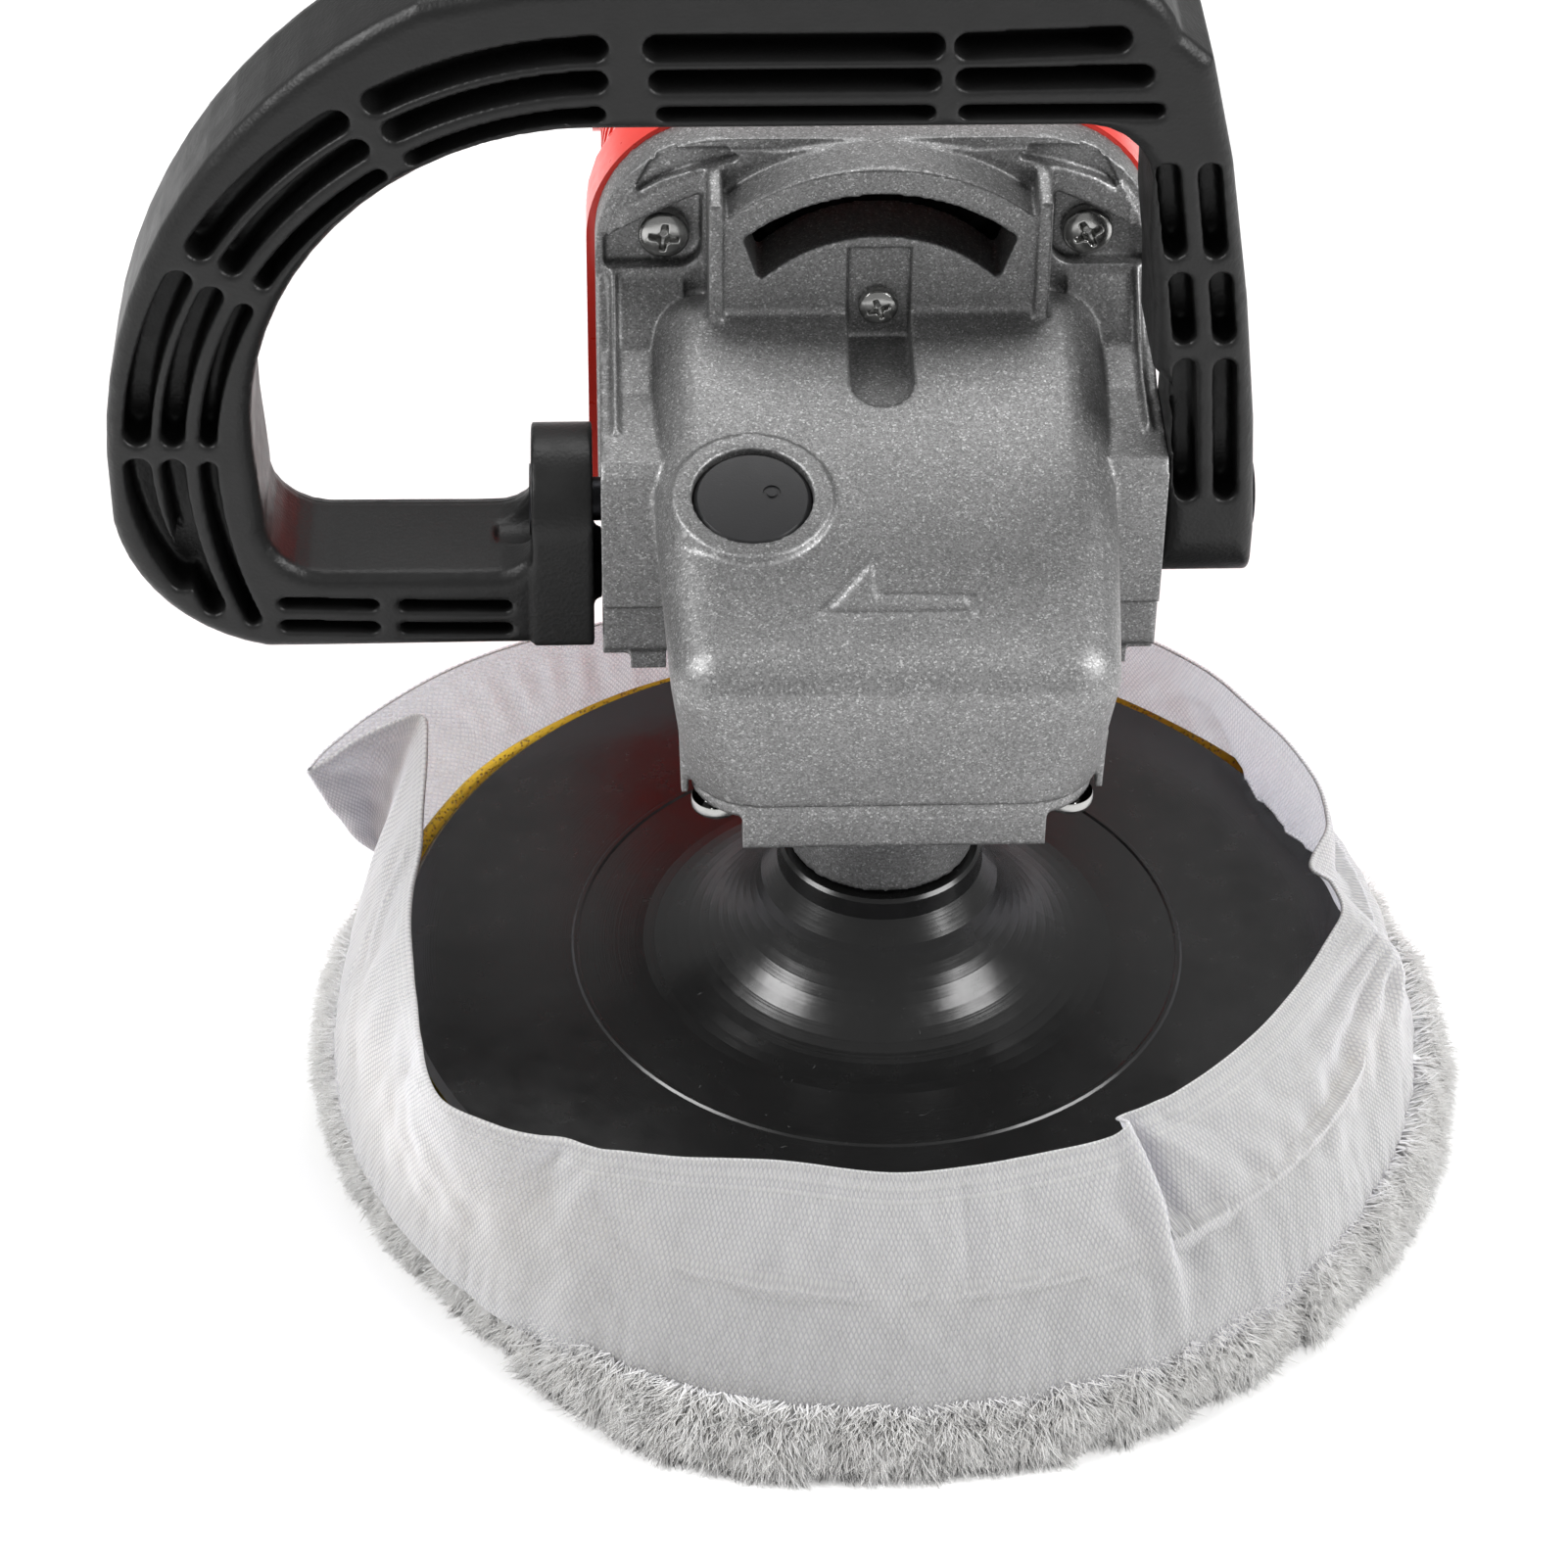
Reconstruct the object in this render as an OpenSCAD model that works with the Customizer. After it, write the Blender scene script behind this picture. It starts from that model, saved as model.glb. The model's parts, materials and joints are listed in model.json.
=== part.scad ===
// Rotary polisher with a side loop handle, a 180 mm backing plate and a wool bonnet.
// Origin: on the spindle axis, at the underside of the wool. +Z is up the spindle,
// +Y runs back along the motor to the rear handle, +X points to the machine's right leg.
// All sizes are in millimetres.

/* [Pad and bonnet] */
// Diameter of the backing plate
plate_d = 180; // [176:1:182]
// Height of the top of the backing plate
plate_top = 33; // [33:0.1:33.2]
// Thickness of the backing plate at its rim
plate_rim = 4; // [3:0.5:4.5]
// Diameter of the wool pile
wool_d = 216; // [212:1:220]
// Thickness of the wool pile with its backing
wool_h = 16; // [14:0.5:16]
// Height of the upper edge of the bonnet's skirt
skirt_top = 46; // [42:1:48]

/* [Gear case] */
// Height of the motor axis
axis_z = 120; // [119.8:0.1:120.2]
// Height of the gear case's underside
case_bottom = 90; // [90:0.1:90.1]
// Half width of the nose at its underside
nose_half_low = 36.4; // [36.2:0.1:36.6]
// Half width of the nose at its shoulder
nose_half = 41; // [40.8:0.1:41.2]
// Slope of the nose's top surface, in degrees
top_slope = 16; // [15.8:0.1:16.2]
// Half width of the flange that meets the motor
flange_half = 51; // [50.5:0.1:51.5]
// Corner radius of the flange
flange_r = 23; // [21:0.5:24]

/* [Gears] */
// Pitch radius of the large bevel gear at its rim
gear_pitch_r = 26.5; // [26.4:0.1:26.6]

/* [Motor] */
// Radius of the motor barrel
barrel_r = 49; // [48.5:0.1:50]
// Where the motor housing ends and the rear handle begins
barrel_end = 200; // [198:1:202]

/* [Loop handle] */
// Front face of the loop handle
loop_front = 16; // [15:0.5:17]
// Back face of the loop handle
loop_back = 44; // [43:0.5:45]
// Height of the loop handle's top
loop_top = 225; // [222:1:228]

/* [Rear handle] */
// Where the rear handle ends
handle_end = 352; // [348:1:356]
// Half width of the grip
grip_half = 22; // [21.5:0.5:23]

/* [Hidden] */

$fn = 96;
smooth = 32;                 // facets round a hull's own children
cut = 1;                     // overshoot of a cutting solid
run = 0.05;                  // radial clearance of a shaft in its bearing
seat = 0.03;                 // gap round a part seated in a casting

silver = [0.62, 0.62, 0.63];
steel = [0.72, 0.72, 0.74];
black = [0.08, 0.08, 0.09];
red = [0.86, 0.12, 0.10];
copper = [0.72, 0.42, 0.22];

// ---- positions along the spindle ----
plate_bottom = plate_top - plate_rim;
hub_top = 57.5;              // top ring of the backing plate's hub
hub_r = 18.6;
insert_top = 57.8;
neck_bottom = 58.5;
neck_r = 17;
block_bottom = 81;           // underside of the retainer's thick middle
ear_bottom = 87.2;           // underside of the retainer's ears
block_half = 26.5;
front_y = -32;               // front face of the nose
retainer_half = 35.4;        // half width of the retainer's ears
retainer_x = 31;             // places of the retainer's screws
retainer_y = 24;
gear_teeth = 41;
pinion_teeth = 11;
bearing_z = 82;
bearing_h = 11;
bearing_r = 17.5;
shaft_r = 7.5;
chamber_r = 28.5;
chamber_top = 118;
gear_bottom = bearing_z + bearing_h + 0.3;
web_bottom = 104;
web_top = 112;
hub_gear_r = 12;
ring_h = 1.1;
needle_bottom = 114.6;
needle_top = 123.4;
needle_r = 8.4;
journal_r = 5.95;

// ---- positions along the motor ----
joint_y = 66;                // joint between gear case and motor housing
collar_y = 47;               // front of the hood and collar
centre_screw_z = 142.6;
flange_front = 58;
pad_y = 60.5;                // floor of the screw pads
screw_x = 38.5;
screw_dz = 31;
screw_reach = 22;            // how far a case screw runs below its head
front_bearing_y = 49;
front_bearing_h = 8;
front_bearing_r = 14;
motor_shaft_r = 6;
fan_y = 72;
core_y0 = 96;
core_y1 = 148;
core_r = 26;
stator_r = 45.2;
inner_r = 45.6;              // bore of the motor barrel
commutator_y0 = 162;
commutator_y1 = 181;
commutator_r = 13.5;
brush_y = 171.5;
brush_face = 51.4;           // outer face of the brush bosses
rear_bearing_y = 188;

// ---- side bosses and loop handle ----
boss_half = 50.5;
bolt_y = 30;
bolt_z = 113;
lug_r = 14;                  // half depth of the loop handle, and rounding of its lugs
bolt_r = 4;

// ---- rear handle ----
grip_z = 115;                // height of the grip's middle
trigger_pin_y = 238;
trigger_pin_z = 97;
dial_y = 322;
dial_z = 130;
lock_on_y = 262;
lock_on_z = 117;
switch_z = 107;              // underside of the switch
// Each handle screw's y and z, and the half length of its post
HANDLE_SCREWS = [[212, 150, 27], [212, 90, 27], [313, 98, 18.6], [341, 131, 16]];
inlet_z = 113;
inlet_bore = 4.25;

// ---- helpers ----
function arc(cx, cy, r, a0, a1, n) =
  [for (i = [0 : n]) let (a = a0 + (a1 - a0) * i / n) [cx + r * cos(a), cy + r * sin(a)]];
function top_z(y) = 127.9 + tan(top_slope) * y;

module rod_z(z0, z1, r, x = 0, y = 0) translate([x, y, z0]) cylinder(h = z1 - z0, r = r);
module rod_y(y0, y1, r, x = 0, z = axis_z)
  translate([x, y0, z]) rotate([-90, 0, 0]) cylinder(h = y1 - y0, r = r);
module rod_x(x0, x1, r, y, z)
  translate([x0, y, z]) rotate([0, 90, 0]) cylinder(h = x1 - x0, r = r);
module ring_z(z0, z1, r0, r1) difference() {
  rod_z(z0, z1, r1);
  rod_z(z0 - cut, z1 + cut, r0);
}
module ring_y(y0, y1, r0, r1) difference() {
  rod_y(y0, y1, r1);
  rod_y(y0 - cut, y1 + cut, r0);
}
module box(x0, x1, y0, y1, z0, z1) translate([x0, y0, z0]) cube([x1 - x0, y1 - y0, z1 - z0]);
// An outline in (x, z) drawn out from y0 to y1
module slab_xz(y0, y1) translate([0, y1, 0]) rotate([90, 0, 0]) linear_extrude(y1 - y0) children();
// An outline in (y, z) drawn out from x0 to x1
module slab_yz(x0, x1) translate([x0, 0, 0]) rotate([90, 0, 90]) linear_extrude(x1 - x0) children();
module both_sides() {
  children();
  mirror([1, 0, 0]) children();
}
module round_rect(hx, hy, r) {
  square([2 * hx, 2 * (hy - r)], center = true);
  square([2 * (hx - r), 2 * hy], center = true);
  for (sx = [-1, 1], sy = [-1, 1]) translate([sx * (hx - r), sy * (hy - r)]) circle(r = r);
}
module flange_slab(y0, y1, half, r) slab_xz(y0, y1) translate([0, axis_z]) round_rect(half, half, r);

// A cross-head screw: the shank runs down from the origin and the head stands on it
module screw(shank_r, length, head_r, head_h) {
  translate([0, 0, -length]) cylinder(h = length, r = shank_r);
  difference() {
    union() {
      cylinder(h = head_h * 0.6, r = head_r);
      translate([0, 0, head_h * 0.6]) cylinder(h = head_h * 0.4, r1 = head_r, r2 = head_r * 0.78);
    }
    for (a = [0, 90]) rotate(a) translate([-head_r * 0.52, -head_r * 0.11, head_h * 0.45])
      cube([head_r * 1.04, head_r * 0.22, head_h]);
  }
}

// A ball bearing standing on its lower face
module ball_bearing(r_in, r_out, h, balls) {
  wall = (r_out - r_in) * 0.3;
  mid = (r_out + r_in) / 2;
  ball_r = (r_out - r_in) * 0.23;
  difference() {
    union() {
      ring_z(0, h, r_out - wall, r_out);
      ring_z(0, h, r_in, r_in + wall);
    }
    translate([0, 0, h / 2]) rotate_extrude() translate([mid, 0]) circle(r = ball_r + 0.05);
  }
  for (i = [0 : balls - 1]) rotate(i * 360 / balls) translate([mid, 0, h / 2]) sphere(r = ball_r);
}

// A round wire wound into a compression spring that stands on z = 0
module coil(r, wire, turns, height, sides = 8, steps = 14) {
  rings = turns * steps;
  rise = (height - 2 * wire) / rings;
  points = [for (i = [0 : rings], k = [0 : sides - 1])
    let (a = i * 360 / steps, b = k * 360 / sides, q = r + wire * cos(b))
    [q * cos(a), q * sin(a), wire + i * rise + wire * sin(b)]];
  walls = [for (i = [0 : rings - 1], k = [0 : sides - 1])
    let (n = (k + 1) % sides)
    [i * sides + k, (i + 1) * sides + k, (i + 1) * sides + n, i * sides + n]];
  first = [for (k = [0 : sides - 1]) k];
  last = [for (k = [sides - 1 : -1 : 0]) rings * sides + k];
  polyhedron(points, concat(walls, [first, last]));
}

// ---- bevel gears, both measured from the shared apex on the spindle axis ----
gear_cone = atan(gear_teeth / pinion_teeth);
pinion_cone = 90 - gear_cone;
cone_out = gear_pitch_r / sin(gear_cone);
cone_in = cone_out - 5.4;
gear_module = 2 * gear_pitch_r / gear_teeth;
tip_angle = atan(0.8 * gear_module / cone_out);
root_angle = atan(1.15 * gear_module / cone_out);

function on_cone(r, cone, turn) = [r * sin(cone) * cos(turn), r * sin(cone) * sin(turn), r * cos(cone)];
// One straight tooth with its root sunk in the blank; half angles at root, pitch line and tip
module bevel_tooth(cone, w_root, w_pitch, w_tip) {
  outline = [[cone - root_angle - 2, w_root], [cone, w_pitch], [cone + tip_angle, w_tip]];
  mirrored = [for (i = [2 : -1 : 0]) [outline[i][0], -outline[i][1]]];
  section = concat([for (p = outline) [p[0], p[1]]], mirrored);
  points = [for (r = [cone_in, cone_out], p = section) on_cone(r, p[0], p[1])];
  walls = [for (i = [0 : 5]) let (n = (i + 1) % 6) [i, n, n + 6, i + 6]];
  polyhedron(points, concat([[5, 4, 3, 2, 1, 0]], walls, [[6, 7, 8, 9, 10, 11]]));
}
module bevel_blank(cone, back) rotate_extrude() {
  root = cone - root_angle;
  polygon([
    [0, cone_in * cos(root)],
    [cone_in * sin(root), cone_in * cos(root)],
    [cone_out * sin(root), cone_out * cos(root)],
    [cone_out * sin(root), back],
    [0, back]
  ]);
}

// ---- gear case ----
nose_r = 9;                  // rounding of the nose's upper edges
low_r = 13;                  // rounding of its lower front corners, seen from below
crease_z = 109;              // where the front face starts to lean back
module nose_ball(x, y) translate([x, y, top_z(y) - nose_r / cos(top_slope)]) sphere(r = nose_r, $fn = smooth);
module case_nose() hull() both_sides() {
  nose_ball(nose_half - nose_r - 2, front_y + nose_r);
  nose_ball(nose_half - nose_r, 8);
  nose_ball(nose_half - nose_r, 50);
  rod_z(crease_z - 1, crease_z, low_r - 1, nose_half - low_r - 1.2, front_y + low_r - 1);
  rod_z(case_bottom, case_bottom + 2, low_r, nose_half_low - low_r, front_y + low_r + 0.4);
  rod_z(case_bottom, case_bottom + 6, nose_r, nose_half_low - nose_r, 42);
}
// Thin lip that hangs from each lower side edge of the nose
module case_lips() both_sides() slab_xz(front_y + 9, 26)
  polygon([[nose_half_low - 0.6, 96], [nose_half_low + 1.1, 99], [nose_half_low + 0.7, 86.6],
           [nose_half_low - 0.6, 86.6]]);
// Shoulder beside the nose that carries the loop handle, with a thin rib along its top
module side_boss() {
  back = flange_front + 0.6;
  top = [[15.5, 127], [18, 129], [38, 130.5], [47, 134], [back, 145]];
  slab_yz(35, boss_half) polygon(concat([[17.2, 88], [17.2, 98.7], [15.5, 98.7]], top,
                                        [[back, 84], [44, 84], [44, 88]]));
  slab_yz(47.2, 48.2) polygon([[24, 128], [26, 130.8], [38, 132], [46, 135.6], [back, 147], [back, 128]]);
  box(39, 45.5, 18, 40, 83.5, 90);
  box(45, boss_half, 20, 36, 85.5, 90);
}
hood_half = 30.7;
slot_z = 127.5;              // centre of the vent's two arcs
module vent_hood() slab_xz(collar_y, joint_y - 6) {
  intersection() {
    translate([0, slot_z]) circle(r = 43.5);
    translate([-hood_half, 134]) square([2 * hood_half, 60]);
  }
}
module hood_ribs() both_sides() slab_yz(hood_half - 2.6, hood_half)
  polygon([[collar_y - 2, 140], [collar_y - 0.8, 164], [flange_front + 0.6, 167], [flange_front + 0.6, 137],
           [collar_y, 137]]);
// Arched band that ties the hood to the flange's rim above the screw pads
arch_z = 80.7;               // centre of the band's arcs
arch_r = 90;
arch_w = 4.2;
arch_front = 56.4;
module arch_band() slab_xz(arch_front, flange_front + 1) intersection() {
  difference() {
    translate([0, arch_z]) circle(r = arch_r);
    translate([0, arch_z]) circle(r = arch_r - arch_w);
  }
  translate([-46, 150]) square([92, 20.4]);
}
// Recess of one upper screw pad: under the arch, beside the hood, with a rounded lower inner corner
module screw_pad() slab_xz(collar_y - cut, pad_y) intersection() {
  translate([0, arch_z]) circle(r = arch_r - arch_w + 0.3);
  translate([0, axis_z]) round_rect(flange_half - 1.5, flange_half - 1.5, flange_r - 1.5);
  union() {
    translate([hood_half + 5.5, 145]) square([20, 20]);
    translate([hood_half + 1, 149.5]) square([20, 20]);
    translate([hood_half + 5.5, 149.5]) circle(r = 4.5);
  }
}
// Sunken pocket between the arch and the flange's upper corner
module corner_pocket() slab_xz(flange_front - 5, flange_front + 1.5)
  polygon([[44.2, 160.2], [41, 166.6], [37.5, 169.2], [27, 169.2], [24, 167.6], [33.5, 165.2], [39, 163.2]]);
// Channel over the nose that gives access to the centre screw
channel_r = 5.6;
channel_end = 26;            // where its round front end lies
module screw_channel() {
  back = collar_y + 1.5;
  intersection() {
    slab_yz(-channel_r - 1, channel_r + 1)
      polygon([[channel_end - 1, 134.2], [back, 135.5], [back, 155], [channel_end - 1, 155]]);
    union() {
      rod_z(130, 156, channel_r, 0, channel_end + channel_r);
      box(-channel_r, channel_r, channel_end + channel_r, collar_y + 2, 130, 156);
    }
  }
}
chamber_front = 60;          // front of the air chamber behind the vent
module vent_slot() slab_xz(collar_y - cut - 3, chamber_front + cut) intersection() {
  difference() {
    translate([0, slot_z]) circle(r = 38.2);
    translate([0, slot_z]) circle(r = 29.8);
  }
  polygon([[-20.2, 144], [-24.6, 157], [-24.6, 172], [24.6, 172], [24.6, 157], [20.2, 144]]);
}
lock_x = -24;
lock_y = 5.5;
lock_r = 10.35;
lock_floor = 9.5;            // depth of the button's bore below the top surface
lock_pin_dx = 6.9;           // the pin stands off the button's centre, towards the spindle
lock_pin_dy = -4;
lock_pin_r = 2;
lock_travel = 4;
// Places children in the lock button's own frame, with z along its axis
module at_lock() translate([lock_x, lock_y, top_z(lock_y)]) rotate([top_slope, 0, 0]) children();
module rotation_arrow() at_lock_plane() linear_extrude(0.8) difference() {
  polygon([[-14, -20.5], [-3, -6.4], [-2.4, -15.8], [13.3, -16.2], [13.3, -20.5]]);
  polygon([[-12, -19.7], [-3.6, -8.6], [-3.2, -16.6], [12.5, -17], [12.5, -19.7]]);
}
module at_lock_plane() translate([0, 0, top_z(0) - 0.2]) rotate([top_slope, 0, 0]) children();

module gear_case() color(silver) difference() {
  union() {
    case_nose();
    case_lips();
    both_sides() side_boss();
    slab_yz(-34, 34) polygon([[33, 93], [33, 89], [46, 76], [flange_front, 73], [flange_front, 93]]);
    flange_slab(arch_front + 0.4, flange_front + cut, flange_half - 2, flange_r - 2);
    flange_slab(flange_front, joint_y, flange_half, flange_r);
    vent_hood();
    hood_ribs();
    arch_band();
    at_lock() translate([0, 0, -2]) cylinder(h = 3.3, r1 = 15.6, r2 = 14);
    rotation_arrow();
    rod_z(needle_bottom - 0.6, 121, 11.5);
  }
  vent_slot();
  // gear chamber, open below, with the needle bearing's boss left standing in its roof
  difference() {
    rod_z(case_bottom - cut, chamber_top, chamber_r);
    rod_z(needle_bottom - 0.6, chamber_top + cut, 11.5);
  }
  rod_z(needle_bottom - cut, needle_top, needle_r + seat);
  rod_y(15, front_bearing_y + cut, 10.6);
  rod_y(front_bearing_y, flange_front + cut, front_bearing_r + seat);
  // air chamber behind the vent, round the front bearing's boss, with the screw pads left backed
  difference() {
    ring_y(chamber_front, joint_y + cut, 20, 45.5);
    both_sides() for (z = [80, 143]) box(30.4, 50, 50, pad_y + 2.5, z, z + 17);
  }
  rod_y(flange_front, joint_y + cut, 20.5);
  // pads and holes of the four flange screws
  for (sx = [-1, 1]) {
    rod_y(collar_y - cut, pad_y, 6.5, sx * screw_x, axis_z - screw_dz);
    for (sz = [-1, 1]) rod_y(pad_y - cut, joint_y + cut, 2.6, sx * screw_x, axis_z + sz * screw_dz);
  }
  both_sides() {
    screw_pad();
    corner_pocket();
  }
  // centre screw's channel and tapped hole
  screw_channel();
  rod_y(collar_y, 56, 1.95, 0, centre_screw_z);
  // tapped holes for the loop handle
  both_sides() rod_x(boss_half - 18, boss_half + cut, bolt_r, bolt_y, bolt_z);
  // lock button's bore and the pin's guide
  at_lock() {
    translate([0, 0, -lock_floor]) cylinder(h = lock_floor + 4, r = lock_r + 0.3);
    translate([lock_pin_dx, lock_pin_dy, -30]) cylinder(h = 30, r = lock_pin_r + 0.08);
  }
  // tapped holes of the retainer screws
  for (sx = [-1, 1], sy = [-1, 1])
    rod_z(case_bottom - 6, case_bottom + 12, 2, sx * retainer_x, sy * retainer_y);
}

module bearing_retainer() color(silver * 0.95) difference() {
  union() {
    translate([0, 0, ear_bottom]) linear_extrude(case_bottom - ear_bottom)
      round_rect(retainer_half, -front_y - 0.8, low_r - 1);
    box(-block_half, block_half, front_y + 0.4, -front_y - 0.4, block_bottom, ear_bottom + 0.5);
    rod_z(case_bottom - 0.5, bearing_z + bearing_h, chamber_r - seat);
    rod_z(neck_bottom, block_bottom + 1, neck_r);
  }
  rod_z(neck_bottom - cut, bearing_z, 11.5);
  rod_z(bearing_z, bearing_z + bearing_h + cut, bearing_r + seat);
  rod_z(66, 70, 14.2);
  for (sx = [-1, 1], sy = [-1, 1]) {
    rod_z(ear_bottom - cut, case_bottom + cut, 2.2, sx * retainer_x, sy * retainer_y);
    rod_z(block_bottom - cut, ear_bottom, 5.2, sx * retainer_x, sy * retainer_y);
  }
}
module retainer_screws() color(steel) for (sx = [-1, 1], sy = [-1, 1])
  translate([sx * retainer_x, sy * retainer_y, ear_bottom]) rotate([180, 0, 0]) screw(1.98, 13, 4.4, 3.2);
module case_screws() color(steel) for (sx = [-1, 1], sz = [-1, 1])
  translate([sx * screw_x, pad_y, axis_z + sz * screw_dz]) rotate([90, 0, 0])
    screw(2.4, screw_reach, 4.7, 3.4);
module centre_screw() color(steel)
  translate([0, collar_y + 1.5, centre_screw_z]) rotate([90, 0, 0]) screw(1.93, 6, 3.6, 2.8);
module spindle_bearing() color(steel) translate([0, 0, bearing_z])
  ball_bearing(shaft_r, bearing_r, bearing_h, 9);
module needle_bearing() color(steel) ring_z(needle_bottom, needle_top, journal_r + run, needle_r);
module dust_seal() color([0.35, 0.33, 0.30]) ring_z(66.2, 69.8, 10.55, 14);
module front_bearing() color(steel) translate([0, front_bearing_y + 0.1, axis_z]) rotate([-90, 0, 0])
  ball_bearing(motor_shaft_r, front_bearing_r, front_bearing_h, 8);
module bearing_clamp_plate() color(steel) difference() {
  ring_y(flange_front + 0.1, flange_front + 2, 9.5, 20);
  for (a = [0, 180]) translate([17 * cos(a), 0, axis_z + 17 * sin(a)])
    rod_y(flange_front, flange_front + 3, 1.6, 0, 0);
}

// ---- spindle group ----
module spindle() color(steel) {
  rod_z(38, insert_top + 0.1, 6.95);
  rod_z(insert_top + 0.1, bearing_z - 0.2, 10.5);
  rod_z(bearing_z - 0.2, gear_bottom, shaft_r - run);
  difference() {
    rod_z(gear_bottom, web_top + 2.2, 7);
    ring_z(web_top, web_top + ring_h, 6.4, 8);
  }
  rod_z(web_top + 2.2, needle_top - 0.6, journal_r);
}
lock_hole_turn = 158.5;      // where the pin meets the gear's web
lock_hole_at = 18.4;
module bevel_gear() color([0.45, 0.45, 0.47]) difference() {
  union() {
    difference() {
      translate([0, 0, axis_z]) mirror([0, 0, 1]) bevel_blank(gear_cone, axis_z - web_bottom);
      rod_z(web_top, axis_z, cone_in * sin(gear_cone - root_angle) - 0.6);
    }
    rod_z(gear_bottom, web_bottom + cut, 10.2);
    rod_z(web_bottom, web_top - 0.1, hub_gear_r);
    for (i = [0 : gear_teeth - 1]) translate([0, 0, axis_z]) mirror([0, 0, 1])
      rotate(90 + i * 360 / gear_teeth) bevel_tooth(gear_cone, 2.85, 1.75, 0.95);
  }
  rod_z(gear_bottom - cut, axis_z, 7.02);
  for (i = [0 : 3]) rotate(lock_hole_turn + i * 90)
    rod_z(web_bottom - cut, web_top + cut, 2.75, lock_hole_at);
}
module gear_circlip() color(steel) difference() {
  ring_z(web_top + 0.05, web_top + ring_h - 0.05, 6.45, 9);
  rotate(-90) box(-1.5, 1.5, 0, 12, web_top - cut, web_top + 3);
}
module backing_plate() color(black) {
  flare = 26;                // radius of the hollow curve from plate to hub
  rotate_extrude() polygon(concat(
    [[8.6, plate_bottom], [plate_d / 2, plate_bottom], [plate_d / 2, plate_top - 1.2],
     [plate_d / 2 - 1.2, plate_top], [57.2, plate_top], [56.8, plate_top + 0.35], [56.2, plate_top + 0.35],
     [55.8, plate_top], [46, plate_top + 0.4]],
    arc(46, plate_top + 0.4 + flare, flare, -90, -158, 14),
    [[hub_r + 0.4, hub_top - 4], [hub_r, hub_top - 0.6], [hub_r - 0.6, hub_top],
     [hub_r - 2.2, hub_top], [hub_r - 3, hub_top - 1.5], [13.2, hub_top - 1.5], [13.2, 36], [8.6, 36]]));
}
module plate_insert() color(steel) difference() {
  union() {
    rod_z(plate_bottom + 0.2, 36.1, 8.5);
    rod_z(36.1, insert_top, 12.9);
  }
  rod_z(plate_bottom, insert_top + cut, 7);
}
module foam_disc() color([0.93, 0.76, 0.12]) rod_z(wool_h + 0.2, plate_bottom - 0.1, plate_d / 2 + 1.2);
module bonnet_wool() color([0.95, 0.94, 0.91]) {
  r = wool_d / 2;
  rotate_extrude() polygon(concat(
    [[0, 0], [r - 7, 0]],
    arc(r - 6, 6, 6, -80, 60, 8),
    [[r - 5, wool_h - 2], [r - 9, wool_h], [0, wool_h]]));
}
skirt_t = 1.2;
module bonnet_skirt() color([0.93, 0.92, 0.96]) rotate_extrude() {
  outer = [[wool_d / 2 - 5.6, 12.5], [wool_d / 2 - 6.2, 20], [101, 31], [plate_d / 2 - 3, skirt_top]];
  inner = [for (i = [len(outer) - 1 : -1 : 0]) [outer[i][0] - skirt_t, outer[i][1]]];
  polygon(concat([[wool_d / 2 - 4.7, wool_h - 1.9]], [for (i = [1 : 3]) outer[i]],
                 [for (i = [0 : 2]) inner[i]], [[wool_d / 2 - 6.6, wool_h - 0.9]]));
}

// ---- armature group ----
module armature_shaft() color(steel) {
  rod_y(17.2, 29.4, 3.2);
  rod_y(29.4, 64, motor_shaft_r - run);
  rod_y(64, 187, 6.6);
  rod_y(187, 196.5, 3.95);
}
module pinion() color([0.45, 0.45, 0.47]) difference() {
  translate([0, 0, axis_z]) rotate([-90, 0, 0]) union() {
    bevel_blank(pinion_cone, cone_out * cos(pinion_cone - root_angle) + 2.5);
    for (i = [0 : pinion_teeth - 1]) rotate(90 + (i + 0.5) * 360 / pinion_teeth)
      bevel_tooth(pinion_cone, 8.6, 6.0, 2.9);
  }
  rod_y(10, 40, 3.25);
}
module fan() color([0.15, 0.15, 0.16]) difference() {
  union() {
    rod_y(fan_y, fan_y + 11, 12);
    rod_y(fan_y + 8.6, fan_y + 11, 41.5);
    for (i = [0 : 13]) translate([0, 0, axis_z]) rotate([0, i * 360 / 14, 0])
      box(13, 41, fan_y + 0.5, fan_y + 9, -1, 1);
  }
  rod_y(fan_y - cut, fan_y + 12, 6.65);
  for (i = [0 : 6]) translate([0, 0, axis_z]) rotate([0, i * 360 / 7 + 12, 0])
    translate([21, 0, 0]) rod_y(fan_y + 8, fan_y + 12, 3.2, 0, 0);
}
module armature_core() color([0.5, 0.5, 0.52]) difference() {
  rod_y(core_y0, core_y1, core_r);
  rod_y(core_y0 - cut, core_y1 + cut, 6.65);
  for (i = [0 : 11]) translate([0, 0, axis_z]) rotate([0, i * 30, 0])
    box(core_r - 8, core_r + cut, core_y0 - cut, core_y1 + cut, -1.1, 1.1);
}
module armature_windings() color(copper) {
  ring_y(core_y0 - 9, core_y0 - 0.1, 9.5, 23.5);
  ring_y(core_y1 + 0.1, commutator_y0 - 2.2, 9.5, 23.5);
}
module commutator() color([0.78, 0.45, 0.25]) difference() {
  union() {
    rod_y(commutator_y0, commutator_y1, commutator_r);
    rod_y(commutator_y0 - 2, commutator_y0, commutator_r + 1.6);
  }
  rod_y(commutator_y0 - 3, commutator_y1 + cut, 6.65);
  for (i = [0 : 23]) translate([0, 0, axis_z]) rotate([0, i * 15, 0])
    box(commutator_r - 0.8, commutator_r + 2.4, commutator_y0 + 1, commutator_y1 + cut, -0.25, 0.25);
}

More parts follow.
